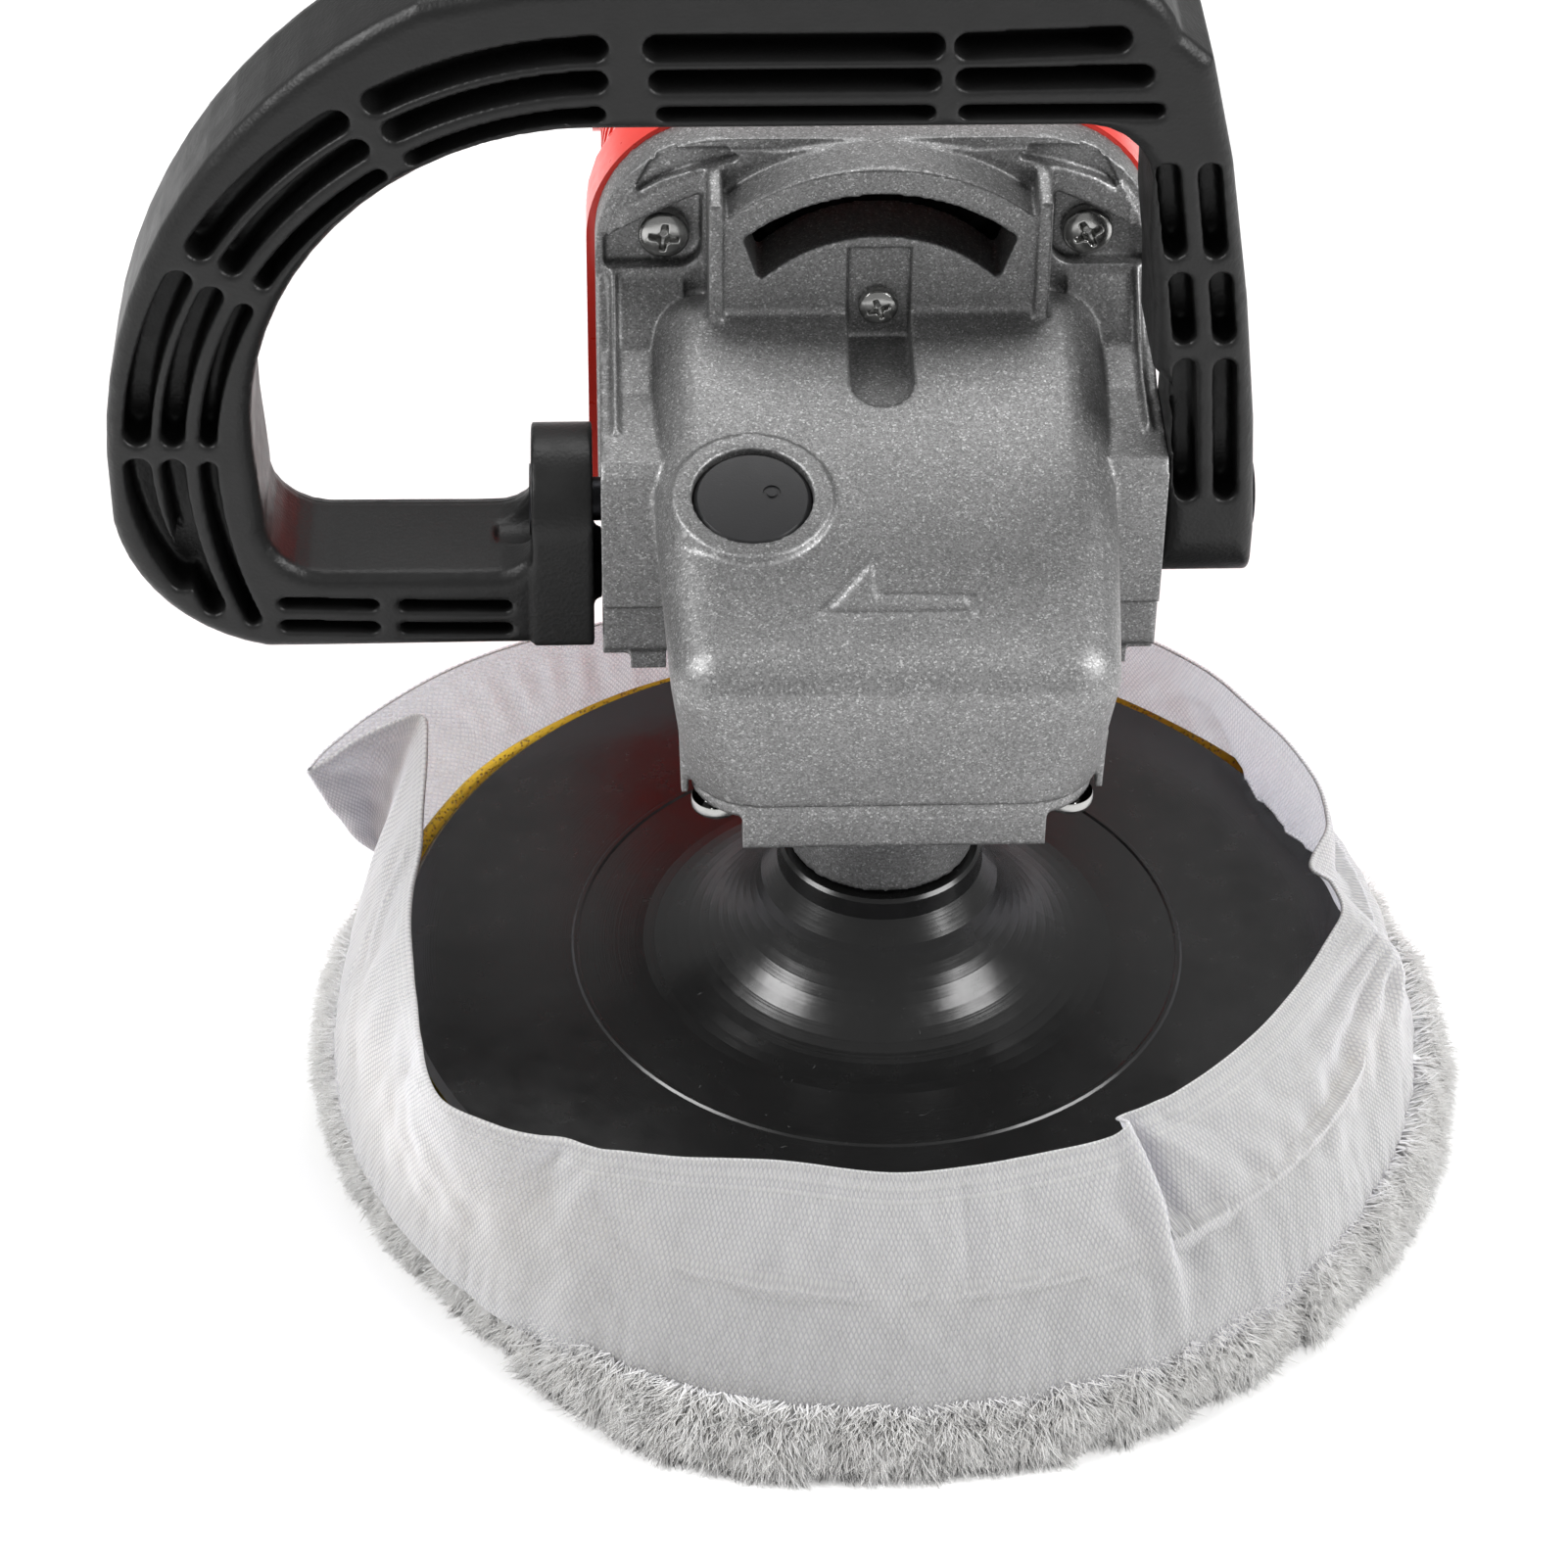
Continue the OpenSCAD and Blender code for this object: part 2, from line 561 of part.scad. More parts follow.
// ---- motor housing and what it holds ----
module motor_housing() color(red) difference() {
  union() {
    flange_slab(joint_y, joint_y + 11, flange_half + 1.6, 27);
    hull() {
      flange_slab(joint_y + 11, joint_y + 12, flange_half + 1.6, 27, $fn = smooth);
      rod_y(joint_y + 22, joint_y + 24, barrel_r, $fn = 64);
    }
    rod_y(joint_y + 20, barrel_end, barrel_r);
    both_sides() rod_x(40, brush_face, 11, brush_y, axis_z);
    for (i = [0 : 8]) rod_y(112 + i * 5, 113.6 + i * 5, barrel_r + 0.7);
  }
  rod_y(joint_y - cut, barrel_end - 13, inner_r);
  rod_y(barrel_end - 9, barrel_end + cut, 43);
  // bearing seat and air windows through the rear wall
  rod_y(barrel_end - 14, barrel_end + cut, 8);
  for (i = [0 : 5]) translate([0, 0, axis_z]) rotate([0, i * 60 + 30, 0])
    translate([28, 0, 0]) rod_y(barrel_end - 14, barrel_end - 5, 8, 0, 0);
  // holes for the case screws
  for (sx = [-1, 1], sz = [-1, 1])
    rod_y(joint_y - cut, joint_y + 17, 2.43, sx * screw_x, axis_z + sz * screw_dz);
  // brush openings
  both_sides() rod_x(38, brush_face + cut, 8, brush_y, axis_z);
  // cooling slots round the barrel's rear
  for (side = [0, 180], i = [-3 : 3]) translate([0, 0, axis_z]) rotate([0, side + 90 + i * 11, 0])
    box(inner_r - 4, barrel_r + 4, 150, 180, -1.3, 1.3);
}
module fan_baffle() color(black) difference() {
  ring_y(fan_y + 12.5, fan_y + 15, 31, inner_r - seat);
  for (i = [0 : 3]) translate([0, 0, axis_z]) rotate([0, 45 + i * 90, 0])
    translate([40, 0, 0]) rod_y(fan_y + 12, fan_y + 16, 2, 0, 0);
}
module stator_core() color([0.55, 0.55, 0.57]) difference() {
  rod_y(core_y0, core_y1, stator_r);
  rod_y(core_y0 - cut, core_y1 + cut, core_r + 0.6);
  both_sides() translate([26, 0, axis_z]) box(0, 11, core_y0 - cut, core_y1 + cut, -14, 14);
  for (s = [-1, 1]) translate([0, 0, axis_z + s * 47]) box(-16, 16, core_y0 - cut, core_y1 + cut, -5, 5);
}
module field_coils() color(copper) both_sides() difference() {
  box(27.5, 36.5, core_y0 - 7, core_y1 + 7, axis_z - 13.5, axis_z + 13.5);
  box(27, 37, core_y0 - 1, core_y1 + 1, axis_z - 5, axis_z + 5);
}
module rear_bearing() color(steel)
  translate([0, rear_bearing_y, axis_z]) rotate([-90, 0, 0]) ball_bearing(4, 7.95, 7, 7);
module brush_holders() color([0.80, 0.64, 0.30]) both_sides() difference() {
  box(15.5, 43, brush_y - 5, brush_y + 5, axis_z - 7.5, axis_z + 7.5);
  box(15, 44, brush_y - 3.6, brush_y + 3.6, axis_z - 6.1, axis_z + 6.1);
}
module carbon_brushes() color([0.18, 0.18, 0.19]) both_sides()
  box(commutator_r + 0.25, 29, brush_y - 3.5, brush_y + 3.5, axis_z - 6, axis_z + 6);
module brush_springs() color(steel) both_sides()
  translate([29.1, brush_y, axis_z]) rotate([0, 90, 0]) coil(2.4, 0.4, 5, 13);
module brush_caps() color(black) both_sides() difference() {
  union() {
    rod_x(43.2, brush_face, 7.9, brush_y, axis_z);
    rod_x(brush_face, brush_face + 1.2, 8.6, brush_y, axis_z);
  }
  box(51.6, 54, brush_y - 6, brush_y + 6, axis_z - 0.9, axis_z + 0.9);
}

// ---- spindle lock ----
module lock_button() color(black) at_lock() {
  difference() {
    union() {
      translate([0, 0, -4.2]) cylinder(h = 3.9, r = lock_r);
      translate([0, 0, -0.3]) cylinder(h = 0.7, r1 = lock_r, r2 = lock_r - 0.7);
    }
    translate([3.4, 1.2, 0.1]) ring_z(0, 1, 0.9, 1.6);
    translate([lock_pin_dx, lock_pin_dy, -5]) cylinder(h = 3.4, r = lock_pin_r + 0.02);
  }
}
module lock_pin() color(steel) at_lock()
  translate([lock_pin_dx, lock_pin_dy, -15.7]) cylinder(h = 14, r = lock_pin_r);
module lock_spring() color(steel) at_lock() translate([-1.2, 1, -lock_floor + 0.1]) coil(4.6, 0.45, 4, 5);

// ---- loop handle ----
module loop_outline() {
  top = loop_top;
  polygon(concat(
    [[-62, 90], [-104, 89.7]],
    arc(-104.5, 122, 33, 258, 188, 10),
    arc(-34.6, 128, 102.7, 178, 116, 14),
    [[-62, top - 1], [-46, top]],
    arc(31, top - 17, 17, 85, 20, 6),
    [[52.6, 209], [57.4, 189], [61.9, 162], [65, 137], [66.8, 113], [66.8, bolt_z - lug_r],
     [boss_half, bolt_z - lug_r],
     [boss_half, 143], [46.3, 148], [45.6, 162], [44, 174]],
    arc(31.5, 184, 12.5, -10, 88, 6),
    arc(-51.1, 136.2, 60.3, 90, 183, 16),
    arc(-99.5, 117, 11, 172, 268, 6),
    [[-73, 105.8]],
    arc(-70, 113.8, 8, -80, 0, 5),
    [[-62, 117]]));
}
// The loop's body: full width in its middle, drawn in towards each face
module loop_body() {
  steps = 5;
  edge = 6;                  // depth of the rounded rim at each face
  for (i = [0 : steps - 1]) {
    a = 90 * (i + 0.5) / steps;
    inset = edge * (1 - sin(a));
    y = edge * (1 - cos(a));
    slab_xz(loop_front + y * 0.45, loop_back - y) offset(delta = -inset * 0.5) loop_outline();
  }
}
// The left lug, with a round top about the bolt
module ear() slab_yz(-63, -52) {
  translate([loop_front, 90]) square([loop_back - loop_front, bolt_z - 90]);
  translate([bolt_y, bolt_z]) circle(r = lug_r);
}
// What is trimmed off below the right leg to round it about the bolt
module leg_trim() slab_yz(48, 72) difference() {
  translate([loop_front - cut, bolt_z - 2 * lug_r]) square([2 * lug_r + 2 * cut, 2 * lug_r]);
  translate([bolt_y, bolt_z]) circle(r = lug_r);
}
// A straight slot with round ends between two points of the front face
module slot(p, q, w) {
  d = q - p;
  len = norm(d);
  translate(p) rotate(atan2(d[1], d[0])) {
    translate([0, -w / 2]) square([len, w]);
    circle(r = w / 2);
    translate([len, 0]) circle(r = w / 2);
  }
}
// A curved slot with round ends on a circle about (cx, cz)
module arc_slot(cx, cz, r, a0, a1, w) {
  n = 8;
  polygon(concat(arc(cx, cz, r + w / 2, a0, a1, n), arc(cx, cz, r - w / 2, a1, a0, n)));
  for (a = [a0, a1]) translate([cx + r * cos(a), cz + r * sin(a)]) circle(r = w / 2);
}
slot_depth = 9;
module loop_slots() slab_xz(loop_front - cut, loop_front + slot_depth) {
  // top bar: three rows, two breaks
  for (row = [0 : 2]) {
    z = 212.3 - row * 6.2;
    w = [5, 4.2, 2.8][row];
    slot([-40 + row * 0.5, z], [5, z], w);
    slot([11.5, z], [[36, 40.5, 43.5][row], z + [1, 0.4, 0][row]], w);
  }
  // left bend: three concentric rows broken by two cross ribs, then three that ease into the corner
  for (row = [0 : 2]) {
    r = [83.8, 77.6, 71.4][row];
    w = [4.8, 4.2, 3][row];
    arc_slot(-48, 128.5, r, 91.8, 117.6, w);
    arc_slot(-48, 128.5, r, 123.1, 146.4, w);
    arc_slot(-48, 128.5, r, 152, 174.2, w);
    ease = [47.7, 86.8, 93.1][row];
    arc_slot(-48 - r + ease, 129.5, ease, 180, 180 + [29.8, 19.9, 20.5][row], w);
  }
  // lower bar: two rows, one break
  for (row = [0, 1]) {
    z = [100.2, 95.2][row];
    slot([-107.5, z], [-92, z - 0.6], 2.6);
    slot([-86, z - 0.8], [-68, z - 1.2], 2.6);
  }
  // right leg: two columns, three lengths
  for (dx = [0, 7]) {
    slot([46.3 + dx, 187.6], [48.4 + dx, 173], 4.1);
    slot([49.8 + dx, 166], [51.2 + dx, 155.6], 4.1);
    slot([51.8 + dx, 148.4], [53.8 + dx, 122.5], 4.1);
  }
}
module loop_handle() color(black) difference() {
  union() {
    loop_body();
    ear();
    box(-63, boss_half * -1 - 0.02, 24, 36, 95, 103);
  }
  loop_slots();
  leg_trim();
  rod_x(-70, 0, bolt_r + 0.2, bolt_y, bolt_z);
  rod_x(40, 70, bolt_r + 0.2, bolt_y, bolt_z);
  rod_x(-70, -57.2, 8, bolt_y, bolt_z);
  rod_x(61.5, 75, 8, bolt_y, bolt_z);
}
module handle_bolt(x_seat, flip) translate([x_seat, bolt_y, bolt_z]) rotate([0, flip * 90, 0]) difference() {
  union() {
    translate([0, 0, -22]) cylinder(h = 22, r = bolt_r - 0.02);
    cylinder(h = 4.6, r = 6.5);
  }
  translate([0, 0, 2]) cylinder(h = 4, r = 3.4, $fn = 6);
}
module handle_bolts() color(steel) {
  handle_bolt(-58.8, -1);
  handle_bolt(63.1, 1);
}
module bolt_washers() color(steel) {
  difference() {
    rod_x(-58.8, -57.25, 7.8, bolt_y, bolt_z);
    rod_x(-60, -56, bolt_r + 0.1, bolt_y, bolt_z);
  }
  difference() {
    rod_x(61.55, 63.1, 7.8, bolt_y, bolt_z);
    rod_x(61, 64, bolt_r + 0.1, bolt_y, bolt_z);
  }
}

// ---- rear handle ----
module section(y, half_x, half_z, z, roundness) translate([0, y, z]) rotate([-90, 0, 0])
  linear_extrude(1) round_rect(half_x, half_z, half_x * roundness, $fn = smooth);
module handle_outer() {
  ring_y(barrel_end - 8, barrel_end + 2, 40, 42.8);
  hull() {
    rod_y(barrel_end, barrel_end + 3, barrel_r, $fn = 64);
    section(barrel_end + 18, 43, 44, axis_z - 0.5, 0.99);
  }
  hull() {
    section(barrel_end + 18, 43, 44, axis_z - 0.5, 0.99);
    section(barrel_end + 40, grip_half + 5, 31, grip_z + 1.5, 0.8);
  }
  hull() {
    section(barrel_end + 40, grip_half + 5, 31, grip_z + 1.5, 0.8);
    section(barrel_end + 64, grip_half, 25, grip_z, 0.66);
  }
  hull() {
    section(barrel_end + 64, grip_half, 25, grip_z, 0.66);
    section(handle_end - 36, grip_half, 24, grip_z - 1, 0.66);
  }
  hull() {
    section(handle_end - 36, grip_half, 24, grip_z - 1, 0.66);
    section(handle_end - 8, grip_half + 3.5, 29, grip_z - 2, 0.7);
    section(handle_end - 1, grip_half - 1, 25, grip_z - 2, 0.7);
  }
}
module handle_hollow() {
  rod_y(barrel_end - 9, barrel_end + 14, 38);
  rod_y(barrel_end + 13, barrel_end + 30, 25, 0, axis_z - 3);
  box(-18.5, 18.5, barrel_end + 25, handle_end - 10, grip_z - 20, grip_z + 17);
}
module screw_posts() for (p = HANDLE_SCREWS) rod_x(-p[2], p[2], 4.4, p[0], p[1]);
module handle_shell() difference() {
  union() {
    difference() {
      handle_outer();
      handle_hollow();
    }
    screw_posts();
  }
  // slot for the trigger in the underside, and its pin
  box(-8.6, 8.6, trigger_pin_y - 6, 305, 70, grip_z - 15);
  rod_x(-24, 24, 2.05, trigger_pin_y, trigger_pin_z);
  // lock-on button's hole in the left wall
  rod_x(-30, -15, 4.7, lock_on_y, lock_on_z);
  // window and pin of the speed dial
  box(-4.2, 4.2, dial_y - 13.5, dial_y + 13.5, dial_z - 6, 160);
  rod_x(-20.6, 20.6, 2.05, dial_y, dial_z);
  // cord inlet in the tail
  rod_y(handle_end - 12, handle_end + cut, 9, 0, inlet_z);
  // air slots round the shoulder
  for (side = [0, 180], i = [-2 : 2]) translate([0, 0, axis_z]) rotate([0, side + i * 13, 0])
    box(28, 60, barrel_end + 5, barrel_end + 11, -1.2, 1.2);
  for (p = HANDLE_SCREWS) {
    rod_x(-15, 20, 1.65, p[0], p[1]);
    rod_x(12, 60, 3.3, p[0], p[1]);
  }
}
module half(side) intersection() {
  children();
  box(side < 0 ? -70 : 0, side < 0 ? 0 : 70, 180, 380, 60, 190);
}
module rear_handle_left() color(black) half(-1) handle_shell();
module rear_handle_right() color(black * 1.3) half(1) handle_shell();
module handle_screws() color(steel) for (p = HANDLE_SCREWS)
  translate([12, p[0], p[1]]) rotate([0, 90, 0]) screw(1.6, 26, 2.9, 2.2);
module switch_body() color([0.15, 0.15, 0.17]) box(-11, 11, 246, 288, switch_z, switch_z + 22);
module speed_controller() color([0.10, 0.25, 0.14]) box(-13, 13, 291, 307, grip_z - 9, grip_z + 11);
module trigger() color([0.1, 0.1, 0.1]) difference() {
  slab_yz(-8.2, 8.2) polygon([[233.5, 97], [235, 90], [243, 87], [262, 84.5], [280, 83.2], [296, 84.5],
    [301, 88], [301, 95], [290, 96], [246, 98], [242, 102], [234, 102]]);
  rod_x(-10, 10, 2.05, trigger_pin_y, trigger_pin_z);
}
module trigger_pin() color(steel) rod_x(-23, 23, 2, trigger_pin_y, trigger_pin_z);
module trigger_spring() color(steel)
  translate([0, 268, switch_z - 9.2]) coil(3, 0.45, 4, 9);
module lock_on_button() color([0.1, 0.1, 0.1]) {
  rod_x(-25, -14.5, 4.4, lock_on_y, lock_on_z);
  rod_x(-17.9, -16.5, 6, lock_on_y, lock_on_z);
}
module speed_dial() color([0.12, 0.12, 0.12]) difference() {
  rod_x(-3.8, 3.8, 12, dial_y, dial_z);
  rod_x(-5, 5, 2.05, dial_y, dial_z);
  for (i = [0 : 29]) translate([0, dial_y, dial_z]) rotate([i * 12, 0, 0])
    translate([-5, 12, -0.35]) cube([10, 1.2, 0.7]);
}
module dial_pin() color(steel) rod_x(-20.5, 20.5, 2, dial_y, dial_z);
module cord_inlet() color(black) difference() {
  union() {
    rod_y(handle_end - 11, handle_end + 0.05, 8.95, 0, inlet_z);
    rod_y(handle_end + 0.05, handle_end + 4, 11, 0, inlet_z);
  }
  rod_y(handle_end - 13, handle_end + 6, inlet_bore, 0, inlet_z);
}
module cord_clamp() color(black) difference() {
  box(-14, 14, 319, 329, grip_z - 19.9, grip_z - 10);
  rod_y(315, 335, inlet_bore, 0, grip_z - 8);
}

gear_case();
bearing_retainer();
retainer_screws();
case_screws();
centre_screw();
spindle_bearing();
needle_bearing();
dust_seal();
front_bearing();
bearing_clamp_plate();
spindle();
bevel_gear();
gear_circlip();
backing_plate();
plate_insert();
foam_disc();
bonnet_wool();
bonnet_skirt();
armature_shaft();
pinion();
fan();
armature_core();
armature_windings();
commutator();
motor_housing();
fan_baffle();
stator_core();
field_coils();
rear_bearing();
brush_holders();
carbon_brushes();
brush_springs();
brush_caps();
lock_button();
lock_pin();
lock_spring();
loop_handle();
handle_bolts();
bolt_washers();
rear_handle_left();
rear_handle_right();
handle_screws();
switch_body();
speed_controller();
trigger();
trigger_pin();
trigger_spring();
lock_on_button();
speed_dial();
dial_pin();
cord_inlet();
cord_clamp();
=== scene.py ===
"""Looks of the rotary polisher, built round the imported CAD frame.

Everything is in metres in the CAD's own frame: the origin is on the spindle axis at the
underside of the wool, +Z is up, +Y runs back to the rear handle.
"""
import json
import math

import bmesh
import bpy
import numpy as np
from mathutils import Matrix, Vector


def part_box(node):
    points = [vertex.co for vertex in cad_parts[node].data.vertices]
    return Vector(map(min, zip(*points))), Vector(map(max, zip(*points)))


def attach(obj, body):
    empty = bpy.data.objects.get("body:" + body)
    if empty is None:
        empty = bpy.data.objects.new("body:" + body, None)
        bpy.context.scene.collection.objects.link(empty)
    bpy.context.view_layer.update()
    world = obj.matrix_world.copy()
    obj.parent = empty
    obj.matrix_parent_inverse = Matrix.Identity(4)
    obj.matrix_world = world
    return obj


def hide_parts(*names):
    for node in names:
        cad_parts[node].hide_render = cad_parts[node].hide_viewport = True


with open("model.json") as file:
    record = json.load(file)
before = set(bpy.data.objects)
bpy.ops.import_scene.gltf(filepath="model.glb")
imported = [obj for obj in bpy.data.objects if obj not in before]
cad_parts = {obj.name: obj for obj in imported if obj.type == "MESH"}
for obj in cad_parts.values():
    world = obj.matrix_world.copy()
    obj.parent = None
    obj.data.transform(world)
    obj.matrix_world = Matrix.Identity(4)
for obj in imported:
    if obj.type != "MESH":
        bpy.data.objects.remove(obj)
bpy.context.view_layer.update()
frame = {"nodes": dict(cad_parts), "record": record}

MM = 0.001
NODES = frame["nodes"]
SMALLEST_RING = 0.0005       # radius that stands in for a point on an axis, in metres
GROUND = 0.0001              # lowest that the wool reaches, in metres
SPINDLE = "spindle_group"

# ---------------------------------------------------------------- camera and light

VIEW_TARGET = Vector((-17.9, 0.0, 70.2)) * MM
VIEW_ELEVATION = math.radians(38.46)
VIEW_AZIMUTH = math.radians(-2.89)
VIEW_ROLL = math.radians(1.02)
VIEW_DISTANCE = 0.8
LENS = 100.8
SENSOR = 36.0


def add_camera():
    """A camera that looks at the target from the front, a little from the left, slightly rolled."""
    ce, se = math.cos(VIEW_ELEVATION), math.sin(VIEW_ELEVATION)
    ca, sa = math.cos(VIEW_AZIMUTH), math.sin(VIEW_AZIMUTH)
    back = Vector((sa * ce, -ca * ce, se))
    right = Vector((ca, sa, 0))
    up = back.cross(right)
    cr, sr = math.cos(VIEW_ROLL), math.sin(VIEW_ROLL)
    x_axis = right * cr + up * sr
    y_axis = up * cr - right * sr
    data = bpy.data.cameras.new("camera")
    data.lens = LENS
    data.sensor_width = SENSOR
    data.clip_start = 0.01
    data.clip_end = 20
    camera = bpy.data.objects.new("camera", data)
    matrix = Matrix((x_axis, y_axis, back)).transposed().to_4x4()
    matrix.translation = VIEW_TARGET + back * VIEW_DISTANCE
    camera.matrix_world = matrix
    bpy.context.scene.collection.objects.link(camera)
    bpy.context.scene.camera = camera


def add_area_light(name, place, size, watts):
    """A soft rectangular light that points at the view's target."""
    data = bpy.data.lights.new(name, "AREA")
    data.shape = "RECTANGLE"
    data.size, data.size_y = size
    data.energy = watts
    light = bpy.data.objects.new(name, data)
    light.location = place
    light.rotation_euler = (VIEW_TARGET - Vector(place)).to_track_quat("-Z", "Y").to_euler()
    bpy.context.scene.collection.objects.link(light)


def add_studio():
    """A plain pale floor, a bright even surround and large soft lights."""
    world = bpy.data.worlds.new("studio")
    world.use_nodes = True
    background = world.node_tree.nodes["Background"]
    background.inputs["Color"].default_value = (1.0, 1.0, 1.0, 1)
    background.inputs["Strength"].default_value = 0.42
    bpy.context.scene.world = world
    add_area_light("key", (-1.05, -0.2, 1.05), (0.6, 0.6), 17)
    add_area_light("fill", (0.95, -0.35, 0.85), (0.6, 0.6), 14)
    add_area_light("top", (0.0, 0.6, 1.3), (1.0, 0.6), 8)
    mesh = bpy.data.meshes.new("floor")
    half = 4.0
    corners = [(-half, -half, 0), (half, -half, 0), (half, half, 0), (-half, half, 0)]
    mesh.from_pydata(corners, [], [(0, 1, 2, 3)])
    floor = bpy.data.objects.new("floor", mesh)
    bpy.context.scene.collection.objects.link(floor)
    paint = Paint("floor_white")
    paint.shader["Base Color"].default_value = (0.93, 0.93, 0.93, 1)
    paint.shader["Roughness"].default_value = 0.9
    paint.shader["Specular IOR Level"].default_value = 0.1
    mesh.materials.append(paint.material)
    bpy.context.scene.view_settings.view_transform = "Standard"


# ---------------------------------------------------------------- material building blocks

class Paint:
    """One node material, with short calls for the patterns used here. All scales are in object metres."""

    def __init__(self, name):
        self.material = bpy.data.materials.new(name)
        self.material.use_nodes = True
        self.tree = self.material.node_tree
        principled = self.tree.nodes["Principled BSDF"]
        self.shader = principled.inputs
        self.coords = None
        self.bump_out = None

    def add(self, kind, links=(), **values):
        node = self.tree.nodes.new(kind)
        for key, value in values.items():
            setattr(node, key, value)
        for socket, source in dict(links).items():
            if isinstance(source, bpy.types.NodeSocket):
                self.tree.links.new(source, node.inputs[socket])
            else:
                node.inputs[socket].default_value = source
        return node

    def place(self, uv=False):
        if self.coords is None:
            self.coords = self.add("ShaderNodeTexCoord")
        return self.coords.outputs["UV" if uv else "Object"]

    def noise(self, size, detail=3.0, rough=0.55, distortion=0.0):
        """Noise whose features are about size metres across."""
        return self.add("ShaderNodeTexNoise", {
            "Vector": self.place(), "Scale": 1 / size, "Detail": detail,
            "Roughness": rough, "Distortion": distortion}).outputs["Fac"]

    def voronoi(self, size, feature="F1"):
        """Distance pattern of cells about size metres across."""
        return self.add("ShaderNodeTexVoronoi", {"Vector": self.place(), "Scale": 1 / size},
                        feature=feature).outputs["Distance"]

    def cells(self, size, channel=0):
        """A value from 0 to 1, different in each cell about size metres across."""
        node = self.add("ShaderNodeTexVoronoi", {"Vector": self.place(), "Scale": 1 / size})
        return self.add("ShaderNodeSeparateColor", {0: node.outputs["Color"]}).outputs[channel]

    def ramp(self, factor, stops, smooth=False):
        node = self.add("ShaderNodeValToRGB", {"Fac": factor})
        if smooth:
            node.color_ramp.interpolation = "EASE"
        elements = node.color_ramp.elements
        while len(elements) < len(stops):
            elements.new(0.5)
        for element, (place, colour) in zip(elements, stops):
            element.position = place
            if isinstance(colour, (int, float)):
                colour = (colour, colour, colour)
            element.color = (*colour[:3], 1)
        return node.outputs["Color"]

    def math(self, operation, a, b=0.0):
        return self.add("ShaderNodeMath", {0: a, 1: b}, operation=operation).outputs[0]

    def mix(self, factor, a, b, blend="MIX"):
        node = self.add("ShaderNodeMix", data_type="RGBA", blend_type=blend)
        for socket, source in ((0, factor), (6, a), (7, b)):
            if isinstance(source, bpy.types.NodeSocket):
                self.tree.links.new(source, node.inputs[socket])
            elif socket == 0:
                node.inputs[0].default_value = source
            else:
                node.inputs[socket].default_value = (*source[:3], 1)
        return node.outputs[2]

    def colour(self, source):
        self.tree.links.new(source, self.shader["Base Color"])

    def roughness(self, source):
        self.tree.links.new(source, self.shader["Roughness"])

    def bump(self, height, depth):
        """Adds a bump of the given depth in metres on top of the bumps so far."""
        node = self.add("ShaderNodeBump", {"Height": height, "Distance": depth, "Strength": 1.0})
        if self.bump_out:
            self.tree.links.new(self.bump_out, node.inputs["Normal"])
        self.bump_out = node.outputs["Normal"]
        self.tree.links.new(self.bump_out, self.shader["Normal"])

    def pointiness(self):
        return self.add("ShaderNodeNewGeometry").outputs["Pointiness"]

    def set(self, **values):
        for key, value in values.items():
            self.shader[key.replace("_", " ")].default_value = value


def grey(value):
    return (value, value, value)


def metal(name, tone, rough, grain=0.0006, depth=0.00002, spread=0.12):
    """Bare or plated metal: slight tone clouds, fine scratches and grain."""
    p = Paint(name)
    low = [c * (1 - spread) for c in tone]
    p.colour(p.mix(p.ramp(p.noise(0.004, 4), ((0.35, 0), (0.7, 1))), low, tone))
    streaks = p.noise(grain * 2, 6, 0.7, 1.5)
    p.roughness(p.ramp(streaks, ((0.3, rough * 0.8), (0.75, min(rough * 1.35, 1)))))
    p.bump(p.noise(grain, 3), depth)
    p.set(Metallic=1.0)
    return p.material


def plastic(name, tone, rough, grain, depth, dust=0.0):
    """Moulded plastic with a fine grain and slightly uneven gloss."""
    p = Paint(name)
    dark = [c * 0.85 for c in tone]
    light = [c * 1.12 for c in tone]
    base = p.mix(p.ramp(p.noise(0.012, 3), ((0.35, 0), (0.7, 1))), dark, light)
    if dust:
        marks = p.ramp(p.noise(0.0011, 5, 0.7), ((0.66, 0), (0.74, 1)))
        base = p.mix(p.math("MULTIPLY", marks, dust), base, grey(0.3))
    p.colour(base)
    p.roughness(p.ramp(p.noise(0.003, 5, 0.65), ((0.3, rough * 0.88), (0.7, min(rough * 1.15, 1)))))
    p.bump(p.noise(grain, 2), depth)
    return p.material


def cast_alloy():
    """Silver speckled lacquer on a die casting, worn bright along its edges, with painted shade in its
    corners and recesses.
    """
    p = Paint("case_alloy")
    flake = p.cells(0.0003)
    base = p.ramp(flake, ((0.0, 0.18), (0.5, 0.26), (0.9, 0.32), (0.985, 0.52)))
    fine = p.ramp(p.noise(0.00028, 2), ((0.3, 0.82), (0.7, 1.12)))
    base = p.mix(1.0, base, fine, "MULTIPLY")
    cloud = p.ramp(p.noise(0.018, 4), ((0.3, 0.9), (0.7, 1.06)))
    base = p.mix(1.0, base, cloud, "MULTIPLY")
    point = p.pointiness()
    base = p.mix(p.ramp(point, ((0.53, 0), (0.62, 0.55))), base, grey(0.6))
    # painted shade: darkens hollow corners and recesses, where shade falls
    base = p.mix(p.ramp(point, ((0.38, 0.7), (0.46, 0))), base, grey(0.08))
    specks = p.ramp(p.noise(0.0014, 5, 0.75), ((0.735, 0), (0.76, 0.85)))
    base = p.mix(specks, base, grey(0.03))
    p.colour(base)
    p.roughness(p.ramp(p.cells(0.0003, 1), ((0, 0.46), (1, 0.56))))
    p.bump(p.noise(0.0022, 3), 0.00006)
    p.bump(p.noise(0.0005, 2), 0.00002)
    p.set(Metallic=0.85)
    return p.material


